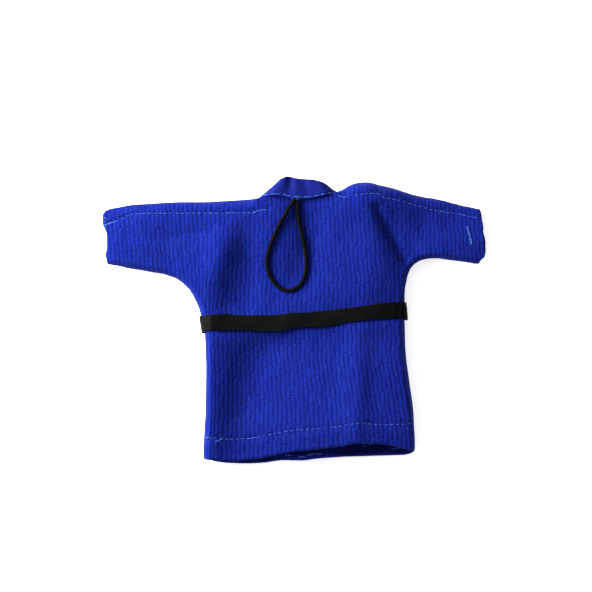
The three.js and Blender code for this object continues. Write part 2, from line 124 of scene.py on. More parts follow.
cuff_l = curve([(20, -74.2), (23.2, -74.5), (26, -75.0), (29, -74.5), (33, -74.5), (36, -75.0), (38, -75.8), (40, -76.1), (42, -76.1), (43.5, -75.6), (46, -75.0)])
cuff_r = curve([(21, 73.4), (23.2, 74.2), (25.2, 75.7), (27.2, 76.1), (31.2, 76.0), (33.2, 75.6), (35.2, 75.1), (37.2, 75.1), (39.2, 74.8), (41.2, 74.5), (43.2, 74.4), (46, 74.3)])
SPLIT_L, SPLIT_R = -38.1, 45.1
ARM_L, ARM_R = 4.6, 15.0


def shoulder(x):
    x = np.asarray(x, float)
    return np.where(x < -12.8, top_l(x), np.where(x > 15.4, top_r(x), NECK(x)))


def along(f, a, b, step=0.35, swap=False):
    t = np.linspace(a, b, max(2, int(abs(b - a) / step)))
    return [(v, w) if swap else (w, v) for w, v in zip(t, f(t))]


outline = np.array(along(top_l, -82, -12.8) + [(-12.8, 90), (15.4, 90)] + along(top_r, 15.4, 82) + [(120, 44.0), (120, 22.4)] + along(under_r, 82, SPLIT_R) + along(side_r, ARM_R, -54, swap=True)
                   + [(47.4, -110), (-36.2, -110)] + along(side_l, -57, ARM_L, swap=True) + along(under_l, SPLIT_L, -82) + [(-120, 22.0), (-120, 43.5)], float)
# signed distance inside the outline, on a fine grid
EX, EY, EH = np.arange(-86, 86.01, 0.25), np.arange(-66, 66.01, 0.25), 0.25
dist = np.full((len(EX), len(EY)), 6.0)
for (ax, ay), (bx_, by_) in zip(outline, np.roll(outline, -1, 0)):
    i0, i1 = np.searchsorted(EX, [min(ax, bx_) - 6, max(ax, bx_) + 6])
    j0, j1 = np.searchsorted(EY, [min(ay, by_) - 6, max(ay, by_) + 6])
    if i0 >= i1 or j0 >= j1:
        continue
    gx_, gy_ = EX[i0:i1, None], EY[None, j0:j1]
    dx, dy = bx_ - ax, by_ - ay
    t = np.clip(((gx_ - ax) * dx + (gy_ - ay) * dy) / max(dx * dx + dy * dy, 1e-12), 0, 1)
    ox, oy = gx_ - ax - t * dx, gy_ - ay - t * dy
    d = np.hypot(ox, oy)
    side = np.where(dx * oy - dy * ox < 0, 1.0, -1.0)       # the outline runs clockwise
    part = dist[i0:i1, j0:j1]
    part[...] = np.where(d < np.abs(part) - 1e-9, d * side, part)
# beside the ends of the neck opening the nearest point is a corner, which has no side of its own
by_neck = (EX[:, None] > -20) & (EX[:, None] < 22) & (EY[None, :] > 40) & (EY[None, :] < shoulder(EX)[:, None])
dist = np.where(by_neck, np.abs(dist), dist)
dgx, dgy = np.gradient(dist, EH)


def grid_read(table, x, y):
    fx = np.clip((x - EX[0]) / EH, 0, len(EX) - 1.001)
    fy = np.clip((y - EY[0]) / EH, 0, len(EY) - 1.001)
    i, j = fx.astype(int), fy.astype(int)
    u, v = fx - i, fy - j
    return (table[i, j] * (1 - u) + table[i + 1, j] * u) * (1 - v) + (table[i, j + 1] * (1 - u) + table[i + 1, j + 1] * u) * v


def edge(x, y):
    """Distance inside the closed outline (never below 0), and the inward direction."""
    x, y = np.asarray(x, float), np.asarray(y, float)
    return np.maximum(grid_read(dist, x, y), 0), grid_read(dgx, x, y), grid_read(dgy, x, y)


# ------------------------------------------------------------------ height of the back
ROWS = [  # plan grid of 0.4 mm steps: row, then (column, height in mm)
    (180, [(104, 3.6), (150, 5.8), (190, 6.8), (234, 7.8), (270, 8.8), (304, 8.4), (334, 9.0), (356, 10.6), (368, 11.2), (384, 10.9), (400, 10.3), (424, 9.2), (480, 7.6)]),
    (200, [(104, 3.6), (124, 4.8), (154, 6.0), (190, 7.0), (214, 7.6), (234, 8.0), (254, 8.8), (270, 9.2), (284, 8.8), (304, 8.3), (320, 8.5), (334, 9.2), (345, 10.0), (356, 10.8), (366, 11.3), (374, 11.1),
           (384, 10.4), (400, 9.4), (424, 8.3), (444, 7.9), (480, 7.4)]),
    (212, [(104, 4.0), (124, 5.5), (144, 6.4), (164, 7.0), (190, 7.4), (214, 7.7), (234, 8.0), (254, 8.5), (270, 9.0), (284, 8.8), (291, 8.4), (297, 7.6), (304, 7.0), (312, 7.2), (320, 8.0), (334, 9.2), (345, 10.0), (354, 10.2), (365, 10.5),
           (372, 10.2), (380, 9.0), (390, 8.4), (404, 8.0), (414, 7.2), (424, 6.4), (434, 6.2), (454, 6.5), (474, 6.9), (482, 6.9)]),
    (225, [(104, 4.3), (114, 5.2), (124, 6.0), (144, 6.7), (164, 7.2), (190, 7.5), (210, 7.7), (220, 8.3), (228, 8.8), (236, 8.5), (244, 7.8), (252, 7.8), (264, 8.4), (274, 8.8), (283, 8.8), (290, 8.45), (297, 7.5),
           (304, 6.5), (311, 6.5), (318, 7.0), (326, 8.0), (334, 8.7), (344, 9.2), (354, 9.5), (364, 10.0), (370, 10.1), (376, 9.6), (384, 7.8), (392, 6.9), (404, 6.7), (416, 6.2), (424, 5.9), (440, 6.1), (474, 6.7)]),
    (237, [(104, 4.4), (114, 5.5), (124, 6.2), (144, 6.9), (164, 7.2), (184, 7.5), (196, 8.0), (206, 8.8), (214, 9.6), (222, 10.2), (228, 10.1), (236, 9.0), (244, 7.9), (252, 7.8), (262, 8.5), (272, 8.9),
           (282, 8.9), (290, 8.5), (297, 7.6), (304, 6.5), (312, 6.5), (320, 7.2), (328, 8.1), (336, 8.7), (344, 9.1), (354, 9.6), (364, 10.4), (372, 10.7), (379, 10.2), (388, 8.4), (396, 6.9), (404, 6.5), (424, 6.5), (444, 6.6), (474, 6.9)]),
    (250, [(104, 4.6), (114, 5.6), (124, 6.4), (144, 7.0), (164, 7.4), (184, 7.8), (196, 8.4), (206, 9.3), (214, 10.2), (220, 10.6), (226, 10.3), (234, 8.7), (241, 7.5), (248, 7.0), (256, 7.5), (266, 8.1),
           (276, 8.4), (284, 8.35), (290, 8.15), (297, 7.4), (304, 6.5), (312, 6.7), (324, 7.9), (334, 8.7), (344, 9.1), (354, 9.7), (364, 10.6), (372, 11.0), (380, 10.7), (388, 9.6), (396, 7.8), (404, 6.8), (412, 6.7),
           (424, 7.0), (444, 6.8), (464, 6.4), (480, 6.1)]),
    (262, [(104, 4.6), (124, 6.2), (160, 7.2), (184, 7.8), (196, 8.6), (206, 9.7), (212, 10.3), (217, 10.3), (224, 9.5), (232, 8.0), (240, 6.7), (248, 6.1), (256, 6.5), (266, 7.2), (278, 7.6), (286, 7.4),
           (294, 6.8), (302, 6.4), (310, 6.7), (318, 7.5), (328, 8.4), (338, 9.0), (348, 9.5), (358, 10.2), (367, 10.8), (375, 10.9), (383, 10.6), (391, 9.7), (399, 8.4), (406, 7.4), (412, 7.0), (430, 7.2), (480, 6.0)]),
    (275, [(104, 4.6), (160, 7.0), (184, 7.8), (198, 8.8), (206, 9.7), (212, 10.1), (218, 9.7), (226, 8.3), (234, 6.8), (242, 5.7), (250, 5.4), (258, 6.1), (268, 6.8), (278, 7.0), (288, 6.8), (298, 6.4),
           (308, 6.6), (318, 7.3), (328, 8.0), (338, 8.5), (348, 9.0), (358, 9.7), (367, 10.2), (376, 10.2), (384, 9.8), (392, 9.0), (400, 8.0), (408, 7.0), (480, 6.0)]),
    (288, [(104, 5.0), (190, 8.2), (200, 9.0), (208, 9.5), (214, 9.3), (222, 8.1), (230, 6.7), (238, 5.6), (246, 5.3), (254, 5.9), (262, 6.6), (270, 6.8), (278, 6.8), (286, 7.0), (296, 7.3), (306, 7.6),
           (316, 8.2), (326, 8.7), (338, 9.0), (350, 9.3), (360, 9.6), (370, 9.7), (380, 9.4), (390, 8.8), (400, 8.0), (408, 7.3), (480, 6.0)]),
    (300, [(104, 5.0), (196, 8.2), (206, 8.8), (213, 8.6), (222, 7.6), (230, 6.5), (238, 5.6), (246, 5.4), (254, 6.0), (262, 6.6), (270, 6.7), (278, 6.9), (286, 7.3), (296, 7.8), (306, 8.3), (316, 8.7),
           (326, 9.0), (338, 9.0), (350, 9.2), (362, 9.3), (374, 8.9), (384, 8.4), (394, 7.8), (404, 7.2), (480, 6.0)]),
    (310, [(104, 5.0), (196, 8.2), (206, 8.6), (213, 8.4), (222, 7.6), (230, 6.8), (238, 6.2), (246, 6.0), (254, 6.5), (262, 6.9), (270, 7.0), (278, 7.2), (286, 7.5), (296, 7.9), (306, 8.3), (316, 8.7),
           (326, 9.0), (338, 9.1), (350, 9.4), (362, 9.5), (374, 9.2), (384, 8.8), (394, 8.2), (404, 7.6), (480, 6.0)]),
    (318, [(104, 6.0), (200, 8.6), (208, 9.1), (216, 9.2), (226, 9.2), (238, 9.2), (250, 9.2), (262, 9.2), (276, 9.2), (290, 9.3), (304, 9.4), (318, 9.6), (334, 9.8), (350, 10.2), (364, 10.2), (380, 9.9),
           (394, 9.4), (406, 8.6), (480, 6.0)]),
    (327, [(104, 6.0), (202, 8.9), (209, 9.4), (216, 9.5), (224, 9.5), (234, 9.5), (246, 9.5), (260, 9.4), (274, 9.4), (288, 9.4), (302, 9.4), (316, 9.4), (330, 9.6), (342, 9.9), (352, 10.4),
           (360, 10.5), (368, 10.3), (380, 10.0), (392, 9.4), (406, 8.4), (480, 6.0)]),
    (336, [(104, 6.0), (202, 8.9), (209, 9.4), (215, 9.1), (224, 8.4), (234, 7.9), (246, 7.4), (260, 7.1), (274, 7.3), (286, 7.6), (296, 7.9), (306, 8.2), (318, 8.4), (330, 8.6), (342, 8.8), (352, 9.4),
           (360, 9.6), (368, 9.1), (380, 8.7), (392, 8.5), (406, 8.0), (480, 6.0)]),
    (345, [(104, 6.0), (202, 8.8), (209, 9.4), (214, 9.3), (222, 8.7), (230, 7.8), (238, 6.7), (248, 5.6), (260, 5.1), (272, 5.6), (284, 6.7), (296, 7.2), (306, 7.7), (318, 8.2), (330, 8.5), (342, 8.9),
           (352, 9.8), (360, 10.2), (368, 9.7), (380, 9.2), (392, 9.0), (406, 8.5), (480, 6.0)]),
    (355, [(104, 6.0), (202, 8.8), (209, 9.4), (214, 9.3), (222, 8.6), (230, 7.5), (238, 6.1), (246, 4.9), (254, 4.4), (262, 4.4), (270, 4.9), (278, 5.6), (286, 6.3), (294, 6.9), (302, 7.4), (310, 8.0),
           (318, 8.4), (326, 8.7), (334, 9.1), (342, 9.7), (350, 10.5), (358, 11.1), (364, 10.9), (374, 10.2), (382, 10.0), (390, 10.0), (398, 9.8), (408, 9.3), (480, 6.0)]),
    (370, [(104, 6.0), (202, 8.8), (209, 9.4), (214, 9.2), (222, 8.3), (230, 7.1), (238, 5.7), (246, 4.6), (254, 4.2), (262, 4.4), (270, 5.0), (278, 5.75), (286, 6.2), (294, 6.9), (302, 7.6), (310, 8.2),
           (318, 8.7), (326, 9.0), (334, 9.4), (342, 10.1), (350, 11.1), (357, 11.6), (363, 11.3), (370, 10.6), (378, 10.3), (386, 10.3), (394, 10.2), (402, 10.0), (408, 9.7), (480, 6.0)]),
    (400, [(104, 6.0), (202, 8.6), (209, 9.2), (214, 8.9), (222, 7.7), (230, 6.3), (238, 5.2), (246, 4.6), (254, 4.7), (262, 5.1), (270, 5.7), (278, 6.3), (286, 6.9), (294, 7.5), (302, 8.1), (310, 8.6),
           (318, 9.0), (326, 9.4), (334, 9.9), (342, 10.7), (350, 11.5), (357, 12.0), (363, 11.6), (370, 10.9), (378, 10.6), (386, 10.7), (394, 10.6), (402, 10.3), (410, 9.8), (480, 6.0)]),
    (430, [(104, 6.0), (202, 8.2), (209, 8.8), (214, 8.6), (222, 7.5), (230, 6.4), (238, 5.8), (246, 5.8), (254, 6.1), (262, 6.5), (270, 7.0), (278, 7.5), (286, 8.0), (294, 8.5), (302, 9.0), (310, 9.4),
           (318, 9.8), (326, 10.3), (334, 10.8), (342, 11.4), (350, 12.0), (356, 12.2), (362, 11.7), (370, 11.2), (378, 11.0), (386, 10.9), (398, 10.6), (410, 10.1), (480, 6.0)]),
    (445, [(104, 6.0), (202, 7.6), (209, 8.1), (214, 8.0), (222, 7.3), (230, 6.6), (238, 6.3), (246, 6.2), (256, 6.4), (266, 6.8), (276, 7.2), (286, 7.6), (300, 8.2), (314, 8.6), (328, 9.0), (342, 9.8),
           (352, 10.5), (358, 10.6), (366, 10.0), (378, 9.6), (390, 9.4), (402, 9.1), (412, 8.7), (480, 6.0)]),
    (462, [(104, 6.0), (202, 6.6), (209, 7.0), (222, 6.2), (236, 5.6), (256, 5.6), (280, 6.2), (310, 7.0), (340, 8.0), (357, 8.9), (370, 8.4), (390, 7.8), (412, 7.2), (480, 6.0)]),
    (500, [(104, 6.0), (202, 6.4), (236, 5.6), (280, 6.0), (340, 7.8), (357, 8.6), (412, 7.0), (480, 6.0)]),
]
gx = np.arange(-84.0, 84.01, 0.4)
gy = np.arange(-64.0, 64.01, 0.8)
rows = np.array([curve([(P(c, 0)[0], h) for c, h in r])(gx) for _, r in ROWS])[::-1]
row_y = np.array([P(0, y)[1] for y, _ in ROWS])[::-1]
field = np.stack([curve(list(zip(row_y, rows[:, i])))(gy) for i in range(len(gx))], axis=0)


def soften(a, sx, sy):
    for axis, s in ((0, sx), (1, sy)):
        k = np.exp(-0.5 * (np.arange(-12, 13) / s) ** 2)
        k /= k.sum()
        pad = [(12, 12) if i == axis else (0, 0) for i in range(2)]
        b = np.pad(a, pad, mode="edge")
        a = sum(k[j] * np.take(b, np.arange(j, j + a.shape[axis]), axis=axis) for j in range(25))
    return a


# slow wandering of the cloth, drawn out along the ribs
noise = soften(rng.normal(size=field.shape), 5.0, 6.0) * 3.6 + soften(rng.normal(size=field.shape), 2.6, 5.0) * 0.9
field = soften(field, 1.6, 3.6) + 0.30 * noise


def bump_line(pts, height, sigma):
    """A soft ridge or valley along a line of plan-grid points."""
    line = np.array([P(*p) for p in pts])
    X, Y = np.meshgrid(gx, gy, indexing="ij")
    best = np.full(X.shape, 1e9)
    for (ax, ay), (bx, by) in zip(line[:-1], line[1:]):
        dx, dy = bx - ax, by - ay
        t = np.clip(((X - ax) * dx + (Y - ay) * dy) / (dx * dx + dy * dy), 0, 1)
        best = np.minimum(best, np.hypot(X - ax - t * dx, Y - ay - t * dy))
    return height * np.exp(-0.5 * (best / sigma) ** 2)


for pts, height, sigma in [
    ([(376, 208), (385, 224), (396, 244), (404, 260)], -1.35, 1.5),  # deep valley in front of the right sleeve
    ([(128, 236), (165, 237), (205, 232)], -0.40, 1.7),              # crease across the left sleeve
    ([(168, 228), (166, 250), (170, 268)], -0.30, 2.4),
    ([(106, 243), (140, 245)], 0.25, 2.4),
    ([(398, 225), (430, 232), (452, 226)], -0.35, 3.0),              # dents in the right sleeve
    ([(455, 240), (480, 243)], 0.40, 2.2),
    ([(425, 250), (470, 255)], 0.35, 2.4),
    ([(210, 437), (236, 440), (262, 437), (300, 431), (345, 426), (358, 423), (412, 425)], -0.26, 0.9),   # drawn in along the hem stitches
    ([(106, 224), (122, 218), (140, 213), (195, 212.7), (254, 212), (267, 208)], -0.4, 0.9),
    ([(336, 195), (352, 195), (378, 194), (405, 202), (440, 210.5), (481, 218)], -0.4, 0.9),
    ([(262, 200), (276, 197), (288, 200), (306, 201), (322, 198), (340, 194)], -0.45, 1.3),
]:
    field = field + bump_line(pts, height, sigma)
# the belt draws the cloth in a little above it
u = gy[None, :] - (-0.6 + 0.10 * gx[:, None])
field = field - 0.75 * np.exp(-0.5 * (u / np.where(u > 0, 4.2, 2.0)) ** 2)


def sample(table, x, y):
    """Smooth lookup in a table over gx, gy."""
    fx = np.clip((np.asarray(x) - gx[0]) / 0.4, 1, len(gx) - 3.001)
    fy = np.clip((np.asarray(y) - gy[0]) / 0.8, 1, len(gy) - 3.001)
    i, j = fx.astype(int), fy.astype(int)
    u, v = fx - i, fy - j

    def w(t):
        return (-0.5 * t + t * t - 0.5 * t ** 3, 1 - 2.5 * t * t + 1.5 * t ** 3, 0.5 * t + 2 * t * t - 1.5 * t ** 3, -0.5 * t * t + 0.5 * t ** 3)
    wu, wv = w(u), w(v)
    return sum(wu[a] * wv[b] * table[i + a - 1, j + b - 1] for a in range(4) for b in range(4))


def radius(x, y, nx, ny):
    """How softly the cloth rounds over: fuller along the shoulders, tight elsewhere, and open at the neck."""
    r = 2.4 + (R_EDGE - 2.4) * smooth(-0.1, 0.8, -ny)
    neck = smooth(44.5, 47.5, y) * smooth(-19.5, -13.5, x) * smooth(22.5, 16.5, x)
    return r + (0.35 - r) * neck


def back_z(x, y):
    d, nx, ny = edge(x, y)
    q = 1 - np.clip(d / radius(x, y, nx, ny), 0, 1)
    return SEAM_Z + (sample(field, x, y) - SEAM_Z) * np.sqrt(np.maximum(0, 1 - q * q))


# ------------------------------------------------------------------ height of the fronts (their outer face, turned down)
free_l = curve([(-60, 14.5), (-4, 13.2), (2, 12.4), (43, -5.2), (60, -12)])
free_r = curve([(-60, -9.6), (-42, -8.7), (-30, -6.8), (-18, -4.9), (-7, -4.9), (2, -6.0), (10, -4.8), (20, -0.9), (43, 8.6), (60, 15)])
BAND_W = 8.0


def front_z(x, y):
    x, y = np.asarray(x, float), np.asarray(y, float)
    belt = smooth(17, 13, np.abs(y))
    tails = smooth(38, 31, np.abs(x - 3)) * smooth(-47, -41, y) * smooth(10, 4, y)
    dome = smooth(15, 8, np.abs(x - 3)) * smooth(12.5, 6.5, np.abs(y + 2))
    rest = 0.34 + 1.0 * np.maximum(belt, tails) + 1.7 * dome
    d, _, _ = edge(x, y)
    q = 1 - np.clip(d / R_EDGE, 0, 1)
    # a slack, slightly wavy layer near the hem, where the edge turns up
    wave = 0.5 + 0.5 * np.sin(x * 0.23 + 0.8) * np.sin(x * 0.11)
    rest = rest + 0.55 * wave * smooth(-46, -56, y) * smooth(0, 10, d)
    return SEAM_Z + (rest - SEAM_Z) * np.sqrt(np.maximum(0, 1 - q * q))


def lift(x, y):
    return (1.55 + 0.6 * smooth(-46, -51, y)) * smooth(7.0, 1.6, x - free_l(y)) * smooth(52, 44, y)


# ------------------------------------------------------------------ weave
def grain(S, T):
    """(rib number, place across the rib, shift of this float, distance in mm to the nearest end of a float)"""
    i = np.floor(S + 0.5)
    g = T + 0.5 * np.mod(i, 2) + 0.16 * np.sin(2.4 * i)
    k = np.floor(g)
    r = g - k
    tau = np.minimum(r, 1 - r) * GRAIN
    shift = 0.085 * np.sin(3.1 * k + 1.7 * i) + (0.02 + 0.10 * np.sin(1.9 * k + 4.3 * i + 0.5)) * (2 * r - 1)
    return i, S - i, shift, tau


def rib_relief(S, T):
    i, q, shift, tau = grain(S, T)
    q = q - shift * (1 - np.exp(-(tau / 0.4) ** 2))
    b = np.cos(np.pi * np.clip(q, -0.5, 0.5))
    pinch = 1 - 0.45 * np.exp(-(tau / 0.5) ** 2)
    swell = 0.9 + 0.18 * np.sin(5.7 * i + 2.1 * np.floor(T + 0.5 * np.mod(i, 2)))
    return RIB * b * pinch * swell


# ------------------------------------------------------------------ meshes
def mesh_object(name, verts, faces, attrs=None, smooth_faces=True, mats=()):
    me = bpy.data.meshes.new(name)
    verts = np.asarray(verts, float) * MM
    faces = [np.asarray(f, np.int32) for f in faces] if isinstance(faces, list) else [np.asarray(faces, np.int32)]
    loops = np.concatenate([f.ravel() for f in faces])
    sizes = np.concatenate([np.full(len(f), f.shape[1], np.int32) for f in faces])
    me.vertices.add(len(verts))
    me.vertices.foreach_set("co", verts.astype(np.float32).ravel())
    me.loops.add(len(loops))
    me.loops.foreach_set("vertex_index", loops.astype(np.int32))
    me.polygons.add(len(sizes))
    me.polygons.foreach_set("loop_start", np.concatenate([[0], np.cumsum(sizes)[:-1]]).astype(np.int32))
    me.polygons.foreach_set("use_smooth", np.full(len(sizes), smooth_faces))
    me.update(calc_edges=True)
    me.validate()
    for key, value in (attrs or {}).items():
        a = me.attributes.new(key, "FLOAT_VECTOR", "POINT")
        a.data.foreach_set("vector", np.asarray(value, np.float32).ravel())
    ob = bpy.data.objects.new(name, me)
    bpy.context.scene.collection.objects.link(ob)
    for m in mats:
        me.materials.append(m)
    return ob


def outward(ob):
    bm = bmesh.new()
    bm.from_mesh(ob.data)
    bmesh.ops.recalc_face_normals(bm, faces=bm.faces)
    if bm.calc_volume(signed=True) < 0:
        bmesh.ops.reverse_faces(bm, faces=bm.faces)
    bm.to_mesh(ob.data)
    bm.free()
    return ob


def grid_faces(m, n, start=0, flip=False):
    i = np.arange(m * n).reshape(m, n) + start
    f = np.stack([i[:-1, :-1], i[1:, :-1], i[1:, 1:], i[:-1, 1:]], -1).reshape(-1, 4)
    return f[:, ::-1] if flip else f


def normals(p):
    du = np.gradient(p, axis=0)
    dv = np.gradient(p, axis=1)
    n = np.cross(dv, du)
    return n / np.maximum(np.linalg.norm(n, axis=-1, keepdims=True), 1e-12)


def slab(name, base, S, T, up, thick, mat, relief=1.0, bulges=(0, 0, 0, 0), extra=None, inner_relief=0.35):
    """A sheet of cloth from its smooth outer face: ribs stand out of it, and the inner face lies thick behind it.
    bulges says how round the rim is at u start, u end, v start and v end."""
    m, n = S.shape
    nrm = normals(base) * up
    rel = rib_relief(S, T) * relief
    outer = base + nrm * (rel + 0.08)[..., None]
    th = thick if np.ndim(thick) else np.full((m, n), float(thick))
    inner = base - nrm * (th - inner_relief * (rel - 0.1))[..., None]
    verts = [outer.reshape(-1, 3), inner.reshape(-1, 3)]
    weave = np.stack([S, T, np.zeros_like(S)], -1)
    attr = [weave.reshape(-1, 3), np.stack([S, T, np.ones_like(S)], -1).reshape(-1, 3)]
    faces = [grid_faces(m, n, 0, up > 0), grid_faces(m, n, m * n, up < 0)]
    idx = np.arange(m * n).reshape(m, n)
    count = 2 * m * n
    for side, bulge in enumerate(bulges):
        if side == 0: e, back = idx[0], idx[1]
        elif side == 1: e, back = idx[-1], idx[-2]
        elif side == 2: e, back = idx[:, 0], idx[:, 1]
        else: e, back = idx[:, -1], idx[:, -2]
        o, i, ob = verts[0][e], verts[1][e], verts[0][back]
        k = 5 if bulge else 1
        rings = [e]
        out = o - ob
        axis = (o - i) / np.maximum(np.linalg.norm(o - i, axis=1, keepdims=True), 1e-9)
        out = out - axis * (out * axis).sum(1, keepdims=True)
        out = out / np.maximum(np.linalg.norm(out, axis=1, keepdims=True), 1e-9)
        mid, half = (o + i) / 2, (o - i) / 2
        rad = np.linalg.norm(half, axis=1, keepdims=True)
        for j in range(1, k):
            a = math.pi * j / k
            verts.append(mid + half * math.cos(a) + out * rad * bulge * math.sin(a))
            attr.append(np.concatenate([attr[0][e][:, :2], np.full((len(e), 1), 0.5)], 1))
            rings.append(np.arange(count, count + len(e)))
            count += len(e)
        rings.append(e + m * n)
        turn = (side in (0, 3)) ^ (up > 0)
        for a, b in zip(rings[:-1], rings[1:]):
            f = np.stack([a[:-1], a[1:], b[1:], b[:-1]], -1)
            faces.append(f if turn else f[:, ::-1])
        if k > 1:
            for end, flip in ((0, turn), (-1, not turn)):
                tri = np.array([[rings[0][end], rings[j][end], rings[j + 1][end]] for j in range(1, len(rings) - 1)])
                faces.append(tri[:, ::-1] if flip else tri)
    ob = mesh_object(name, np.vstack(verts), faces, {"weave": np.vstack(attr)}, mats=[mat])
    return ob, outer


def wrap(w, length, r0, r1):
    """Projected distance for an even parameter w in 0..1 along cloth that turns down over its start (radius r0) and end (r1)."""
    k = math.pi / 2 - 1
    flat = length + k * (r0 + r1)
    s = w * flat
    a = r0 * (1 - np.cos(np.clip(s / max(r0, 1e-9), 0, math.pi / 2)))
    lo = np.where(s < r0 * math.pi / 2, a, s - k * r0)
    e = flat - s
    b = length - r1 * (1 - np.cos(np.clip(e / max(r1, 1e-9), 0, math.pi / 2)))
    return np.where(e < r1 * math.pi / 2, b, lo)


# ------------------------------------------------------------------ materials
def nodes_of(name):
    m = bpy.data.materials.new(name)
    m.use_nodes = True
    nt = m.node_tree
    nt.nodes.clear()
    out = nt.nodes.new("ShaderNodeOutputMaterial")
    bsdf = nt.nodes.new("ShaderNodeBsdfPrincipled")
    nt.links.new(bsdf.outputs[0], out.inputs[0])
    return m, nt, bsdf


class G:
    """Small helper for shader maths."""
    def __init__(self, nt):
        self.nt = nt

    def put(self, socket, v):
        if isinstance(v, (int, float)):
            socket.default_value = v
        elif isinstance(v, tuple):
            socket.default_value = v
        else:
            self.nt.links.new(v, socket)

    def m(self, op, a, b=0.0, c=0.0):
        n = self.nt.nodes.new("ShaderNodeMath")
        n.operation = op
        self.put(n.inputs[0], a)
        self.put(n.inputs[1], b)
        if len(n.inputs) > 2:
            self.put(n.inputs[2], c)
        return n.outputs[0]

    def mix(self, t, a, b):
        n = self.nt.nodes.new("ShaderNodeMix")
        n.data_type = "RGBA"
        self.put(n.inputs[0], t)
        self.put(n.inputs[6], a)
        self.put(n.inputs[7], b)
        return n.outputs[2]

    def combine(self, x, y, z=0.0):
        n = self.nt.nodes.new("ShaderNodeCombineXYZ")
        for i, v in enumerate((x, y, z)):
            self.put(n.inputs[i], v)
        return n.outputs[0]

    def attr(self, name):
        n = self.nt.nodes.new("ShaderNodeAttribute")
        n.attribute_type = "GEOMETRY"
        n.attribute_name = name
        s = self.nt.nodes.new("ShaderNodeSeparateXYZ")
        self.nt.links.new(n.outputs["Vector"], s.inputs[0])
        return s.outputs

    def noise(self, vec, scale, detail=2.0, rough=0.5):
        n = self.nt.nodes.new("ShaderNodeTexNoise")
        self.put(n.inputs["Vector"], vec)
        n.inputs["Scale"].default_value = scale
        n.inputs["Detail"].default_value = detail
        n.inputs["Roughness"].default_value = rough
        return n.outputs["Fac"]

    def white(self, vec):
        n = self.nt.nodes.new("ShaderNodeTexWhiteNoise")
        n.noise_dimensions = "3D"
        self.put(n.inputs["Vector"], vec)
        return n.outputs["Value"]

    def ramp(self, v, a, b):
        n = self.nt.nodes.new("ShaderNodeMapRange")
        n.interpolation_type = "SMOOTHSTEP"
        self.put(n.inputs["Value"], v)
        n.inputs["From Min"].default_value = a
        n.inputs["From Max"].default_value = b
        return n.outputs["Result"]

    def bump(self, height, strength, distance, normal=None):
        n = self.nt.nodes.new("ShaderNodeBump")
        n.inputs["Strength"].default_value = strength
        n.inputs["Distance"].default_value = distance
        self.put(n.inputs["Height"], height)
        if normal is not None:
            self.put(n.inputs["Normal"], normal)
        return n.outputs[0]


def rgb(r, g, b, k=1.0):
    lin = lambda c: ((c / 255 + 0.055) / 1.055) ** 2.4 if c > 10 else c / 255 / 12.92
    return (lin(r) * k, lin(g) * k, lin(b) * k, 1.0)


def lin(c):
    return (c[0], c[1], c[2], 1.0)


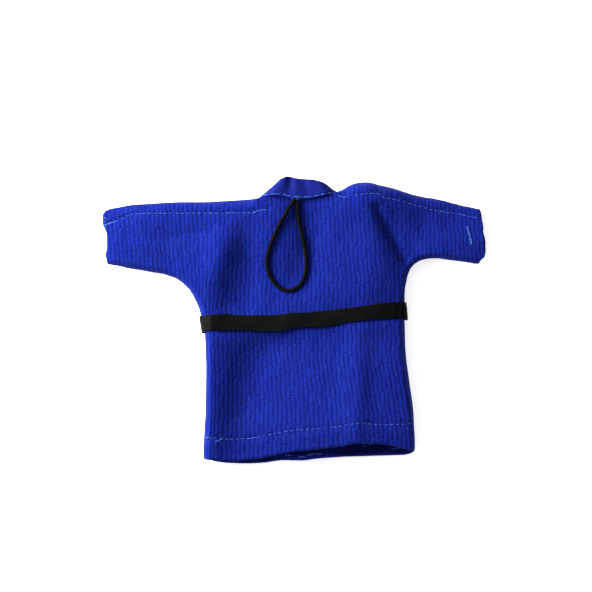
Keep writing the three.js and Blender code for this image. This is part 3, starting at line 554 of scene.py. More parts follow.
# dark is the painted shade in the grooves between the ribs, and also the colour of the float ends
def cotton(name, base=(0.0026, 0.0066, 0.100), dark=(0.0019, 0.0049, 0.078), light=(0.0065, 0.0145, 0.155)):
    m, nt, bsdf = nodes_of(name)
    g = G(nt)
    S, T, layer = g.attr("weave")
    i = g.m("FLOOR", g.m("ADD", S, 0.5))
    odd = g.m("MODULO", g.m("ABSOLUTE", i), 2.0)
    gg = g.m("ADD", g.m("ADD", T, g.m("MULTIPLY", odd, 0.5)), g.m("MULTIPLY", g.m("SINE", g.m("MULTIPLY", i, 2.4)), 0.16))
    k = g.m("FLOOR", gg)
    r = g.m("SUBTRACT", gg, k)
    tau = g.m("MULTIPLY", g.m("MINIMUM", r, g.m("SUBTRACT", 1.0, r)), GRAIN)
    q = g.m("SUBTRACT", S, i)
    shift = g.m("MULTIPLY", g.m("SINE", g.m("ADD", g.m("MULTIPLY", k, 3.1), g.m("MULTIPLY", i, 1.7))), 0.085)
    lean = g.m("SINE", g.m("ADD", g.m("ADD", g.m("MULTIPLY", k, 1.9), g.m("MULTIPLY", i, 4.3)), 0.5))
    lean = g.m("MULTIPLY", g.m("ADD", g.m("MULTIPLY", lean, 0.10), 0.02), g.m("SUBTRACT", g.m("MULTIPLY", r, 2.0), 1.0))
    shift = g.m("ADD", shift, lean)
    q = g.m("SUBTRACT", q, shift)
    aq = g.m("MULTIPLY", g.m("ABSOLUTE", q), 2.0)                       # 0 on the rib's crest, 1 in the groove
    groove = g.ramp(aq, 0.45, 1.0)
    tick = g.m("EXPONENT", g.m("MULTIPLY", g.m("MULTIPLY", tau, tau), -9.0))  # 1 where a float ends
    per = g.white(g.combine(i, k, 0.0))
    here = g.white(g.combine(g.m("MULTIPLY", i, 1.37), k, 5.0))
    # fibres drawn out along the rib, and fuzz
    fibre = g.noise(g.combine(g.m("MULTIPLY", S, 4.0), g.m("MULTIPLY", T, 5.0)), 1.0, 3.0, 0.6)
    fuzz = g.noise(g.combine(g.m("MULTIPLY", S, 9.0), g.m("MULTIPLY", T, 26.0)), 1.0, 3.0, 0.7)
    blotch = g.noise(g.combine(g.m("MULTIPLY", S, 0.11), g.m("MULTIPLY", T, 0.34)), 1.0, 2.0, 0.5)
    # short light and dark bars across a rib where the weft binds it
    bars = g.m("SINE", g.m("MULTIPLY", g.m("SUBTRACT", r, 0.0), GRAIN * 2 * math.pi / 0.86))
    near = g.m("EXPONENT", g.m("MULTIPLY", g.m("MULTIPLY", tau, tau), -1.6))
    strong = g.m("GREATER_THAN", here, 0.42)
    bar = g.m("MULTIPLY", g.m("MULTIPLY", bars, near), strong)
    # painted shade: the colour goes toward dark in the groove between the ribs, where the ribs shade each other, and
    # the random lighter tone below is kept out of the grooves
    col = g.mix(groove, lin(base), lin(dark))
    lighter = g.m("MULTIPLY", g.m("ADD", g.m("MULTIPLY", per, 0.36), g.m("MULTIPLY", fibre, 0.8)), g.m("SUBTRACT", 1.0, groove))
    lighter = g.m("SUBTRACT", lighter, 0.28)
    col = g.mix(g.m("MAXIMUM", 0.0, g.m("MINIMUM", 1.0, g.m("ADD", g.m("MULTIPLY", lighter, 0.9), g.m("MULTIPLY", bar, 0.28)))), col, lin(light))
    col = g.mix(g.m("MULTIPLY", g.m("MULTIPLY", tick, 0.30), g.m("GREATER_THAN", per, 0.40)), col, lin(dark))
    speck = g.noise(g.combine(g.m("MULTIPLY", S, 3.6), g.m("MULTIPLY", T, 8.0)), 1.0, 2.0, 0.6)
    speck = g.m("MULTIPLY", g.m("SUBTRACT", speck, 0.5), 1.5)
    shade = g.m("ADD", 0.73, g.m("ADD", g.m("MULTIPLY", blotch, 0.24), g.m("MULTIPLY", fuzz, 0.32)))
    shade = g.m("ADD", shade, speck)
    shade = g.m("MULTIPLY", shade, g.m("SUBTRACT", 1.0, g.m("MULTIPLY", g.ramp(layer, 0.7, 0.95), 0.5)))     # painted shade: the inner face of the cloth, seen inside the open hem, is darkened to half
    v = nt.nodes.new("ShaderNodeMix")
    v.data_type = "RGBA"
    v.blend_type = "MULTIPLY"
    v.inputs[0].default_value = 1.0
    nt.links.new(col, v.inputs[6])
    g.put(v.inputs[7], g.combine(shade, shade, shade))
    nt.links.new(v.outputs[2], bsdf.inputs["Base Color"])
    rough = g.m("ADD", 0.78, g.m("MULTIPLY", fuzz, 0.16))
    g.put(bsdf.inputs["Roughness"], rough)
    bsdf.inputs["Specular IOR Level"].default_value = 0.02
    bsdf.inputs["Sheen Weight"].default_value = 0.03
    bsdf.inputs["Sheen Roughness"].default_value = 0.4
    bsdf.inputs["Sheen Tint"].default_value = (0.35, 0.5, 1.0, 1.0)
    h = g.m("SUBTRACT", g.m("MULTIPLY", fibre, 0.5), g.m("MULTIPLY", tick, 0.8))
    h = g.m("ADD", h, g.m("MULTIPLY", bar, 0.45))
    h = g.m("ADD", h, g.m("MULTIPLY", fuzz, 0.4))
    h = g.m("SUBTRACT", h, g.m("MULTIPLY", groove, 0.4))
    nt.links.new(g.bump(h, 0.85, 0.0002), bsdf.inputs["Normal"])
    return m


def poplin(name):
    m, nt, bsdf = nodes_of(name)
    g = G(nt)
    S, T, layer = g.attr("weave")                   # mm along and across the band
    weft = g.m("SINE", g.m("MULTIPLY", S, 2 * math.pi / 0.42))
    warp = g.m("SINE", g.m("MULTIPLY", T, 2 * math.pi / 0.36))
    cloth = g.m("MULTIPLY", weft, warp)
    slub = g.noise(g.combine(g.m("MULTIPLY", S, 0.5), g.m("MULTIPLY", T, 5.0)), 1.0, 3.0, 0.6)
    blotch = g.noise(g.combine(g.m("MULTIPLY", S, 0.12), g.m("MULTIPLY", T, 0.2)), 1.0, 2.0, 0.5)
    t = g.m("ADD", g.m("MULTIPLY", slub, 0.6), g.m("ADD", g.m("MULTIPLY", blotch, 0.5), g.m("MULTIPLY", cloth, 0.08)))
    col = g.mix(g.m("MAXIMUM", 0.0, g.m("MINIMUM", 1.0, g.m("SUBTRACT", t, 0.1))), (0.0021, 0.0046, 0.068, 1), (0.0044, 0.0092, 0.118, 1))
    nt.links.new(col, bsdf.inputs["Base Color"])
    bsdf.inputs["Roughness"].default_value = 0.72
    bsdf.inputs["Specular IOR Level"].default_value = 0.03
    bsdf.inputs["Sheen Weight"].default_value = 0.006
    bsdf.inputs["Sheen Tint"].default_value = (0.4, 0.55, 1.0, 1.0)
    h = g.m("ADD", g.m("MULTIPLY", cloth, 0.35), slub)
    nt.links.new(g.bump(h, 0.5, 0.00006), bsdf.inputs["Normal"])
    return m


def ribbon(name):
    m, nt, bsdf = nodes_of(name)
    g = G(nt)
    S, T, layer = g.attr("weave")                   # mm along, and -1..1 across the ribbon
    edge_ = g.m("POWER", g.m("ABSOLUTE", T), 14.0)
    yarn = g.m("SINE", g.m("MULTIPLY", S, 2 * math.pi / 0.33))
    streak = g.noise(g.combine(g.m("MULTIPLY", S, 0.22), g.m("MULTIPLY", T, 7.0)), 1.0, 3.0, 0.6)
    patch = g.noise(g.combine(g.m("MULTIPLY", S, 0.16), g.m("MULTIPLY", T, 0.6)), 1.0, 2.0, 0.5)
    t = g.m("ADD", g.m("MULTIPLY", streak, 0.6), g.m("MULTIPLY", patch, 0.4))
    col = g.mix(t, (0.0006, 0.00065, 0.0007, 1), (0.0014, 0.00145, 0.00145, 1))
    col = g.mix(g.m("MULTIPLY", edge_, 0.5), col, (0.0035, 0.0036, 0.0035, 1))
    nt.links.new(col, bsdf.inputs["Base Color"])
    g.put(bsdf.inputs["Roughness"], g.m("ADD", 0.44, g.m("MULTIPLY", streak, 0.22)))
    bsdf.inputs["Specular IOR Level"].default_value = 0.03
    bsdf.inputs["Sheen Weight"].default_value = 0.003
    h = g.m("ADD", g.m("MULTIPLY", yarn, 0.25), g.m("ADD", g.m("MULTIPLY", streak, 0.6), g.m("MULTIPLY", edge_, 0.8)))
    nt.links.new(g.bump(h, 0.5, 0.00005), bsdf.inputs["Normal"])
    return m


def plain(name, colour, rough, spec=0.3, sheen=0.0, grainy=0.0, scale=900.0):
    m, nt, bsdf = nodes_of(name)
    g = G(nt)
    tc = nt.nodes.new("ShaderNodeTexCoord")
    n = g.noise(tc.outputs["Object"], scale, 3.0, 0.6)
    a = tuple(c * (1 - grainy) for c in colour[:3]) + (1.0,)
    b = tuple(min(1.0, c * (1 + grainy)) for c in colour[:3]) + (1.0,)
    nt.links.new(g.mix(n, a, b), bsdf.inputs["Base Color"])
    bsdf.inputs["Roughness"].default_value = rough
    bsdf.inputs["Specular IOR Level"].default_value = spec
    bsdf.inputs["Sheen Weight"].default_value = sheen
    if grainy:
        nt.links.new(g.bump(n, 0.4, 0.0001), bsdf.inputs["Normal"])
    return m


def cord_mat(name):
    """Fine braid of an elastic cord, drawn round it in the object's own coordinates."""
    m, nt, bsdf = nodes_of(name)
    g = G(nt)
    tc = nt.nodes.new("ShaderNodeTexCoord")
    s = nt.nodes.new("ShaderNodeSeparateXYZ")
    nt.links.new(tc.outputs["Object"], s.inputs[0])
    x, y, z = s.outputs
    a = g.m("SINE", g.m("MULTIPLY", g.m("ADD", g.m("ADD", x, y), z), 2 * math.pi / 0.00042))
    b = g.m("SINE", g.m("MULTIPLY", g.m("SUBTRACT", g.m("ADD", x, z), y), 2 * math.pi / 0.00042))
    braid = g.m("MULTIPLY", a, b)
    fuzz = g.noise(tc.outputs["Object"], 1500.0, 3.0, 0.6)
    col = g.mix(g.m("ADD", g.m("MULTIPLY", braid, 0.3), fuzz), (0.0004, 0.0006, 0.0004, 1), (0.0018, 0.0021, 0.0016, 1))
    nt.links.new(col, bsdf.inputs["Base Color"])
    bsdf.inputs["Roughness"].default_value = 0.7
    bsdf.inputs["Specular IOR Level"].default_value = 0.03
    bsdf.inputs["Sheen Weight"].default_value = 0.006
    nt.links.new(g.bump(g.m("ADD", g.m("MULTIPLY", braid, 0.5), fuzz), 0.5, 0.0001), bsdf.inputs["Normal"])
    return m


COTTON = cotton("royal blue ribbed cotton")
POPLIN = poplin("blue plain weave cotton")
RIBBON = ribbon("black ribbon")
CORD = cord_mat("black elastic cord")
THREAD = plain("light blue thread", (0.030, 0.075, 0.26, 1), 0.6, 0.04, 0.01, 0.25, 2500.0)

# ------------------------------------------------------------------ the back
RIBS = 48
NU = RIBS * 8 + 1
w_u = np.linspace(0, 1, NU)
rows_up = 92
v_up = wrap(np.linspace(0, 1, rows_up), 42.0, R_EDGE, R_EDGE) / 42.0
arm_y = ARM_L + (ARM_R - ARM_L) * w_u                     # from the left armpit to the right one
belt_y = lambda x: -0.9 + 0.065 * (x + 35)


def torso_x(y, side):
    """Columns of the torso at height y (an array over rows and columns)."""
    xl = np.where(y > ARM_L, SPLIT_L, side_l(y))
    xr = np.where(y > ARM_R, SPLIT_R, side_r(y))
    u = np.broadcast_to(w_u, y.shape)
    wrapped = xl + wrap(u, 80.0, 2.4, 2.4) / 80.0 * (xr - xl)
    even = xl + u * (xr - xl)
    kl, kr = smooth(22, -3, y), smooth(30, 6, y)
    k = kl * (1 - u) + kr * u
    return even * (1 - k) + wrapped * k


def torso_grid(y_of, steps):
    """Solves for the grid: y depends on the column's x, and x on y."""
    y = np.zeros((len(steps), NU)) + 10.0
    for _ in range(12):
        x = torso_x(y, 0)
        y = y_of(x)
    return torso_x(y, 0), y


vv = v_up[:, None]
upper_x, upper_y = torso_grid(lambda x: arm_y + vv * (shoulder(x) - arm_y), v_up)
mid = np.linspace(0, 1, 19)[:-1][:, None]
mid_x, mid_y = torso_grid(lambda x: belt_y(x) + mid * (arm_y - belt_y(x)), mid[:, 0])
low = np.linspace(0, 1, 96)[:, None]
low_x, low_y = torso_grid(lambda x: HEM_B(x) + low * (belt_y(x) - HEM_B(x)), low[:, 0])
ux, uy = np.vstack([mid_x, upper_x]), np.vstack([mid_y, upper_y])


def to_base(x, y, z):
    return np.stack([x, y, z], -1)


def flat_t(x, y, side=None):
    """Distance along the ribs in floats, following the cloth over its edges."""
    d, nx, ny = edge(x, y)
    k = math.pi / 2 - 1
    q = np.clip(1 - d / R_EDGE, 0, 1)
    D = R_EDGE * np.arccos(np.clip(q, 0, 1))
    over = np.where(d < R_EDGE, D - k * R_EDGE - d, 0)
    return (y + ny * over) / GRAIN


S0 = SPLIT_L / PITCH
S_t = np.broadcast_to(np.round(S0) + w_u * RIBS - 0.5, ux.shape)
made = {}


def lean(x, y):
    """How far the ribs drift sideways, in mm: the cloth is pulled askew on the sleeves and between them."""
    left = 0.07 * (y - 32) * smooth(-30, -46, x)
    cuff = 0.05 * (y - 32) * smooth(-62, -74, x)
    mid = 0.055 * (y - 20) * smooth(-6, 10, x) * smooth(44, 30, x) * smooth(2, 12, y)
    right = 0.05 * (y - 33) * smooth(48, 58, x)
    low_ = 0.035 * (y + 28) * smooth(-8, -16, y) * smooth(-5, 20, x)
    return left + cuff + mid + right + low_ + 0.10 * np.sin(y * 0.37 + x * 0.19) + 0.07 * np.sin(y * 0.83 + x * 0.11 + 1.0)


def cloth_piece(name, x, y, z, S, up, thick, bulges=(0, 0, 0, 0), relief=1.0, pin=True):
    T = flat_t(x, y)
    S = S + lean(x, y) / PITCH
    ob, outer = slab(name, to_base(x, y, z), S, T, up, thick, COTTON, relief, bulges)
    made[name] = (ob, outer)
    return ob


def hem_thick(y, hem, base=CLOTH):
    return base + 0.75 * smooth(5.4, 4.6, y - hem)


upper = cloth_piece("back_upper", ux, uy, back_z(ux, uy), S_t, 1, CLOTH)
S_l = np.broadcast_to(S_t[0], low_x.shape)
lower = cloth_piece("back_lower", low_x, low_y, back_z(low_x, low_y) + 0.22 * np.exp(-((low_y - HEM_B(low_x)) / 1.2) ** 2), S_l, 1,
                    hem_thick(low_y, HEM_B(low_x)), (0.9, 0, 0, 0))

# ------------------------------------------------------------------ the sleeves
RIBS_L, RIBS_R = 22, 19
wl = np.linspace(0, 1, RIBS_L * 8 + 1)
wr = np.linspace(0, 1, RIBS_R * 8 + 1)


def sleeve_grid(left, rows_v):
    n = len(wl) if left else len(wr)
    y = np.zeros((len(rows_v), n)) + 33.0
    for _ in range(12):
        if left:
            c = cuff_l(y)
            x = c + wl * (SPLIT_L - c)
            y = under_l(x) + rows_v[:, None] * (top_l(x) - under_l(x))
        else:
            c = cuff_r(y)
            x = SPLIT_R + wr * (c - SPLIT_R)
            y = under_r(x) + rows_v[:, None] * (top_r(x) - under_r(x))
    return x, y


lx, ly = sleeve_grid(True, v_up)
rx, ry = sleeve_grid(False, v_up)
S_left = S_t[0, 0] - (SPLIT_L - lx) / 1.70
S_right = S_t[0, -1] + (rx - SPLIT_R) / 1.63
cuff_thick_l = CLOTH + 0.7 * smooth(5.0, 4.2, lx - cuff_l(ly))
cuff_thick_r = CLOTH + 0.7 * smooth(5.0, 4.2, cuff_r(ry) - rx)
sl_back = cloth_piece("left_sleeve_back_cloth", lx, ly, back_z(lx, ly), S_left, 1, cuff_thick_l, (0, 0, 0.8, 0))
sr_back = cloth_piece("right_sleeve_back_cloth", rx, ry, back_z(rx, ry), S_right, 1, cuff_thick_r, (0, 0, 0, 0.8))
sl_front = cloth_piece("left_sleeve_front_cloth", lx, ly, front_z(lx, ly), S_left, -1, cuff_thick_l, (0, 0, 0.8, 0), 0.8)
sr_front = cloth_piece("right_sleeve_front_cloth", rx, ry, front_z(rx, ry), S_right, -1, cuff_thick_r, (0, 0, 0, 0.8), 0.8)

# ------------------------------------------------------------------ the fronts
def front_panel(name, left):
    n = (27 if left else 28) * 8 + 1
    w = np.linspace(0, 1, n)
    arm = ARM_L if left else ARM_R
    up_v = np.concatenate([np.linspace(0, 1, 78)[:-1] * 0 + np.linspace(0, 1, 78)[:-1], [1.0]])
    lowv = np.linspace(0, 1, 90)[:-1]
    y = np.zeros((len(up_v) + len(lowv), n))
    inner = (lambda y: free_l(y) - BAND_W - 0.1) if left else (lambda y: free_r(y) + BAND_W + 0.1)
    up_v = wrap(np.linspace(0, 1, 78), 42.0, 0.01, R_EDGE) / 42.0
    for _ in range(14):
        if left:
            xl = np.where(y > arm, SPLIT_L, side_l(y))
            xr = inner(y)
            k = smooth(13, 4, y)
            wx = wrap(np.broadcast_to(w, y.shape), 47.0, R_EDGE, 0.01) / 47.0 * k + w * (1 - k)
        else:
            xl = inner(y)
            xr = np.where(y > arm, SPLIT_R, side_r(y))
            k = smooth(24, 15, y)
            wx = wrap(np.broadcast_to(w, y.shape), 47.0, 0.01, R_EDGE) / 47.0 * k + w * (1 - k)
        x = xl + wx * (xr - xl)
        top = np.minimum(shoulder(x), np.where((x > -12.8) & (x < 15.4), 48.6, 99))
        hem = HEM_F(x)
        y = np.vstack([hem[: len(lowv)] + lowv[:, None] * (arm - hem[: len(lowv)]), arm + up_v[:, None] * (top[len(lowv):] - arm)])
    z = front_z(x, y) + (0 if left else lift(x, y))
    S = np.broadcast_to((S_t[0, 0] + w * 27) if left else (S_t[0, -1] - 28 + w * 28), x.shape)
    return cloth_piece(name, x, y, z, S, -1, hem_thick(y, HEM_F(x)), (0.9, 0, 0, 0), 0.8)


front_l = front_panel("left_front_cloth", True)
front_r = front_panel("right_front_cloth", False)

for ob in (upper, lower):
    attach(ob, "jacket")
for ob in (front_l, front_r):
    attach(ob, "jacket")
for ob in (sl_back, sl_front):
    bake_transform(ob)
for ob in (sr_back, sr_front):
    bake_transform(ob)
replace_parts(upper, "back_panel")
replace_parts(front_l, "left_front_panel")
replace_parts(front_r, "right_front_panel")
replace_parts(sl_back, "left_sleeve_back")
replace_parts(sl_front, "left_sleeve_front")
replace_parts(sr_back, "right_sleeve_back")
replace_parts(sr_front, "right_sleeve_front")

# ------------------------------------------------------------------ collar and lapel band
def band_stations():
    st = []
    rows_y = [-57, -52, -47, -42, -37, -32, -27, -22.5, -19.5, -16.5, -13.5, -10.5, -7.5, -4, -1, 2, 5, 8, 11, 14, 17, 20, 24, 28, 32, 36, 39]

    def lapel(y, side):
        free = free_l if side < 0 else free_r
        slope = float(free(y + 3) - free(y - 3)) / 6
        t = np.array([slope, 1.0]) / math.hypot(slope, 1)
        w = np.array([t[1], -t[0]]) if side < 0 else np.array([-t[1], t[0]])
        f = np.array([float(free(y)), y])
        e = f - w * BAND_W
        if y < -50:
            e[1] = f[1] = float(HEM_F((e[0] + f[0]) / 2)) + (0.1 if y < -56 else 5.0)
        def h(p):
            return float(front_z(p[0], p[1])) + (float(lift(p[0], p[1])) if side > 0 else 0) + 0.72
        return [*e, h(e), *f, h(f)]
    for y in rows_y:
        st.append(lapel(y, -1))
    zb = lambda x, y: float(sample(field, x, y))
    st += [[-12.6, 42.2, 1.1, -5.6, 45.0, 1.1], [-13.4, 45.4, 1.5, -7.0, 48.8, 1.4], [-14.0, 47.6, 2.7, -8.8, 50.9, 2.6],
           [-13.9, 48.1, 4.9, -9.4, 51.7, 4.8], [-12.9, 48.6, 7.0, -7.9, 53.1, 6.7], [-11.0, 49.1, 8.4, -6.2, 54.7, 8.0]]
    for x, y, fx, fy, fz in [(-8.7, 49.5, -4.5, 56.3, 9.0), (-5.4, 49.6, -3.1, 57.0, 9.1), (-2.6, 48.9, -1.5, 56.9, 8.8), (0.2, 48.5, 0.3, 56.4, 9.1), (2.6, 48.4, 2.2, 56.1, 8.5),
                             (6.2, 48.5, 5.0, 55.9, 9.0), (9.4, 49.1, 7.6, 55.75, 8.9), (12.6, 49.8, 10.0, 55.2, 8.9)]:
        push = 0.5 * math.exp(-((x - 1.5) / 2.2) ** 2)            # the cord's ends lie under it here
        st.append([x, y, zb(x, y) + 0.75 + 0.9 * push, fx, fy, fz])
    st += [[14.8, 50.1, 8.1, 12.0, 54.1, 7.9], [16.2, 50.5, 6.6, 13.5, 53.0, 6.2], [17.0, 50.6, 4.6, 14.6, 51.9, 4.4], [17.3, 49.8, 2.7, 13.8, 51.4, 2.6],
           [17.4, 47.4, 1.5, 11.6, 50.0, 1.4], [16.8, 43.6, 1.1, 9.7, 46.4, 1.1]]
    for y in rows_y[::-1]:
        st.append(lapel(y, 1))
    return np.array(st, float)


st = band_stations()
N_B = 560
line6 = catmull(st, N_B)
E, F = line6[:, :3], line6[:, 3:]
mid_b = (E + F) / 2
tan = np.gradient(mid_b, axis=0)
tan /= np.linalg.norm(tan, axis=1, keepdims=True)
wdir = (F - E) / np.linalg.norm(F - E, axis=1, keepdims=True)
nor = np.cross(wdir, tan)
nor /= np.linalg.norm(nor, axis=1, keepdims=True)
s_b = np.concatenate([[0], np.cumsum(np.linalg.norm(np.diff(mid_b, axis=0), axis=1))])
width_b = np.linalg.norm(F - E, axis=1)
# the closed outline of the band's section, as (across 0..1, through -1..1)
sec = []
for a in np.linspace(0.0, 1.0, 23):
    sec.append((a, 1.0))
for a in np.linspace(math.pi / 2, -math.pi / 2, 7)[1:-1]:
    sec.append((1.0 + 0.5 * math.cos(a) * 0.06, math.sin(a)))
for a in np.linspace(1.0, 0.0, 23):
    sec.append((a, -1.0))
for a in np.linspace(-math.pi / 2, math.pi / 2, 7)[1:-1]:
    sec.append((-0.5 * math.cos(a) * 0.06, math.sin(a)))
sec = np.array(sec)
across, through = sec[:, 0], sec[:, 1]
half_t = 0.66
# ripples of the part behind the neck, in the direction it faces
X_b = mid_b[:, 0]
behind = smooth(5.5, 7.5, mid_b[:, 2])
ripple = lambda c, amp, s: amp * np.exp(-0.5 * ((X_b - c) / s) ** 2)
rip = behind * (ripple(-4.6, 0.35, 1.6) + ripple(-1.6, -0.75, 1.3) + ripple(1.6, 0.35, 1.5) + ripple(5.0, -0.5, 1.0) + ripple(9.5, 0.25, 2.6))
pts = []
for k in range(len(sec)):
    a = across[k]
    profile = (0.15 + 0.85 * np.clip(a, 0, 1))
    soft = 1 - 0.35 * np.exp(-((a - 0.1) / 0.035) ** 2)          # drawn in along the stitch line
    p = E + (F - E) * a
    pts.append(p + nor * (through[k] * half_t * soft - rip * profile)[:, None])
band_p = np.stack(pts, 1)
attr_b = np.stack([np.broadcast_to(s_b[:, None], band_p.shape[:2]), np.clip(across, 0, 1)[None, :] * width_b[:, None], np.zeros(band_p.shape[:2])], -1)
m_b, n_b = band_p.shape[:2]
ring = np.arange(m_b * n_b).reshape(m_b, n_b)
nxt = np.roll(ring, -1, axis=1)
faces_b = [np.stack([ring[:-1], nxt[:-1], nxt[1:], ring[1:]], -1).reshape(-1, 4)[:, ::-1]]
ends = []
for r, flip in ((ring[0], False), (ring[-1], True)):
    f = np.array([[r[j], r[j + 1], r[len(r) - 2 - j], r[len(r) - 1 - j]] for j in range(len(r) // 2 - 1)])
    ends.append(f[:, ::-1] if flip else f)
band = mesh_object("collar_and_lapel_band", band_p.reshape(-1, 3), faces_b + ends, {"weave": attr_b.reshape(-1, 3)}, mats=[POPLIN])
outward(band)
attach(band, "jacket")
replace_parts(band, "collar_band")

# ------------------------------------------------------------------ belt
belt_top = curve([(-36, 1.5), (-33, 1.9), (-28.2, 2.3), (-24, 1.9), (-18.2, 1.7), (-10, 1.7), (-4, 2.2), (-1.6, 2.7), (5, 2.8), (13, 3.7), (22.6, 4.7), (31, 6.0), (39.4, 6.9), (46, 7.0)])
belt_bot = curve([(-36, -4.9), (-34.5, -4.3), (-28.2, -4.3), (-20, -4.3), (-12, -4.8), (-7, -4.8), (-2.6, -4.0), (1, -3.4), (5, -3.1), (11, -3.0), (18, -1.9), (22.6, -0.9), (28, -0.2), (34, 0.2),
                  (40, 0.4), (46, 0.4)])
bx = np.linspace(-35.0, 44.2, 160)
hh = np.max([back_z(bx, (belt_bot(bx) - 3.6) * (1 - a) + (belt_top(bx) + 1.8) * a) for a in np.linspace(0, 1, 11)], axis=0) + 0.26
# the ribbon bridges the hollows: its line is the upper hull, let down a little
hull = hh.copy()
keep = [0]
for i in range(1, len(bx)):
    while len(keep) > 1 and (hh[keep[-1]] - hh[keep[-2]]) * (bx[i] - bx[keep[-1]]) <= (hh[i] - hh[keep[-1]]) * (bx[keep[-1]] - bx[keep[-2]]):
        keep.pop()
    keep.append(i)
hull = np.interp(bx, bx[keep], hh[keep])
bz = np.maximum(hh, 0.72 * hull + 0.28 * hh)
kern = np.exp(-0.5 * (np.arange(-8, 9) / 3.0) ** 2)
kern /= kern.sum()
bz = np.convolve(np.pad(bz, 8, mode="edge"), kern, "valid") + 0.12
path = [(x, z, float(belt_bot(x)), float(belt_top(x))) for x, z in zip(bx[::-4], bz[::-4])]
xl, xr = -37.0, 44.85
path += [(-36.1, 7.6, -4.8, 1.5), (xl, 6.0, -5.1, 1.4), (xl - 0.15, 4.2, -5.4, 1.2), (xl - 0.1, 2.4, -5.7, 0.9), (xl + 0.25, 1.1, -5.8, 0.7), (xl + 1.5, 0.66, -5.7, 0.6)]
for x in np.arange(-33.0, -9.5, 2.6):
    path.append((x, 0.62, -5.2, 0.8))
path += [(-7.6, 0.8, -4.6, 0.6), (-5.6, 1.7, -4.2, 0.3), (-3, 2.3, -4.2, 0.2), (3, 2.4, -4.2, 0.2), (9, 2.3, -4.1, 0.5), (11.6, 1.7, -4.0, 1.0), (13.6, 0.8, -3.8, 1.6)]
for x in np.arange(15.6, 43.0, 2.6):
    path.append((x, 0.62, -3.8 + 0.12 * (x - 15), 2.0 + 0.13 * (x - 15)))
path += [(xr - 1.3, 0.66, -0.3, 6.0), (xr - 0.1, 1.1, -0.4, 6.1), (xr + 0.2, 2.4, -0.3, 6.3), (xr + 0.15, 4.2, -0.1, 6.5), (xr, 6.0, 0.1, 6.7), (xr - 0.4, 7.6, 0.3, 6.9)]
pth = np.array(path + path[:1], float)
loopc = catmull(pth, 520)[:-1]
tb = np.roll(loopc[:, :2], -1, 0) - np.roll(loopc[:, :2], 1, 0)
tb /= np.linalg.norm(tb, axis=1, keepdims=True)
nb = np.stack([tb[:, 1], -tb[:, 0]], 1)                       # outward in the XZ plane
mid_z = loopc[:, 1].mean()
if (nb[0] * np.array([0, 1.0])).sum() < 0:
    nb = -nb
s_r = np.concatenate([[0], np.cumsum(np.linalg.norm(np.diff(loopc[:, :2], axis=0), axis=1))])
K = 15
cross_b = [(c, 1.0) for c in np.linspace(-1, 1, K)] + [(c, 0.0) for c in np.linspace(1, -1, K)]
rib_pts, rib_attr = [], []
on_back = smooth(6.5, 8.5, loopc[:, 1])
for c, side in cross_b:
    y = loopc[:, 2] * (1 - c) / 2 + loopc[:, 3] * (1 + c) / 2
    camber = 0.10 * (1 - c * c)
    flutter = on_back * (0.20 * np.sin(loopc[:, 0] * 0.37 + 0.6) * c + 0.12 * np.sin(loopc[:, 0] * 0.19 + 2.0))
    off = 0.38 * side + camber + flutter + (0.05 if abs(c) > 0.9 else 0) * (side * 2 - 1)
    # the turned ends lean with the cloth beside them
    tilt = -0.5 * c * smooth(-33.5, -36.5, loopc[:, 0]) + (0.06 - 0.28 * c) * smooth(42.6, 44.4, loopc[:, 0])
    rib_pts.append(np.stack([loopc[:, 0] + nb[:, 0] * off + tilt, y, loopc[:, 1] + nb[:, 1] * off], 1))
    rib_attr.append(np.stack([s_r, np.full(len(s_r), c), np.zeros(len(s_r))], 1))
bp = np.stack(rib_pts, 1)
ring = np.arange(bp.shape[0] * bp.shape[1]).reshape(bp.shape[:2])
r1, r2 = np.roll(ring, -1, 0), np.roll(ring, -1, 1)
fb = np.stack([ring, r2, np.roll(r2, -1, 0), r1], -1).reshape(-1, 4)
belt = mesh_object("belt_ribbon", bp.reshape(-1, 3), fb, {"weave": np.stack(rib_attr, 1).reshape(-1, 3)}, mats=[RIBBON])
outward(belt)
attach(belt, "belt")
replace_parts(belt, "belt_wrap")


def ribbon_strip(name, centre, width, thick, k=9, mat=RIBBON, up=(0, 0, 1), twist=None):
    """A flat ribbon along a line of points, closed flat at its cut ends."""
    c = np.array(centre, float)
    t = np.gradient(c, axis=0)
    t /= np.linalg.norm(t, axis=1, keepdims=True)
    upv = np.broadcast_to(np.array(up, float), c.shape) if np.ndim(up) == 1 else np.asarray(up, float)
    w = np.cross(t, upv)
    w /= np.linalg.norm(w, axis=1, keepdims=True)
    n = np.cross(w, t)
    s = np.concatenate([[0], np.cumsum(np.linalg.norm(np.diff(c, axis=0), axis=1))])
    width = np.broadcast_to(np.asarray(width, float), s.shape)
    cols, at = [], []
    for q, side in [(q, 1.0) for q in np.linspace(-1, 1, k)] + [(q, -1.0) for q in np.linspace(1, -1, k)]:
        cols.append(c + w * (q * width / 2)[:, None] + n * (side * thick / 2))
        at.append(np.stack([s, np.full(len(s), q), np.zeros(len(s))], 1))
    p = np.stack(cols, 1)
    m, nn = p.shape[:2]
    ring = np.arange(m * nn).reshape(m, nn)
    nx = np.roll(ring, -1, axis=1)
    faces = [np.stack([ring[:-1], ring[1:], nx[1:], nx[:-1]], -1).reshape(-1, 4)]
    for r, flip in ((ring[0], True), (ring[-1], False)):
        f = np.array([[r[j], r[j + 1], r[nn - 2 - j], r[nn - 1 - j]] for j in range(k - 1)])
        faces.append(f[:, ::-1] if flip else f)
    return outward(mesh_object(name, p.reshape(-1, 3), faces, {"weave": np.stack(at, 1).reshape(-1, 3)}, mats=[mat]))


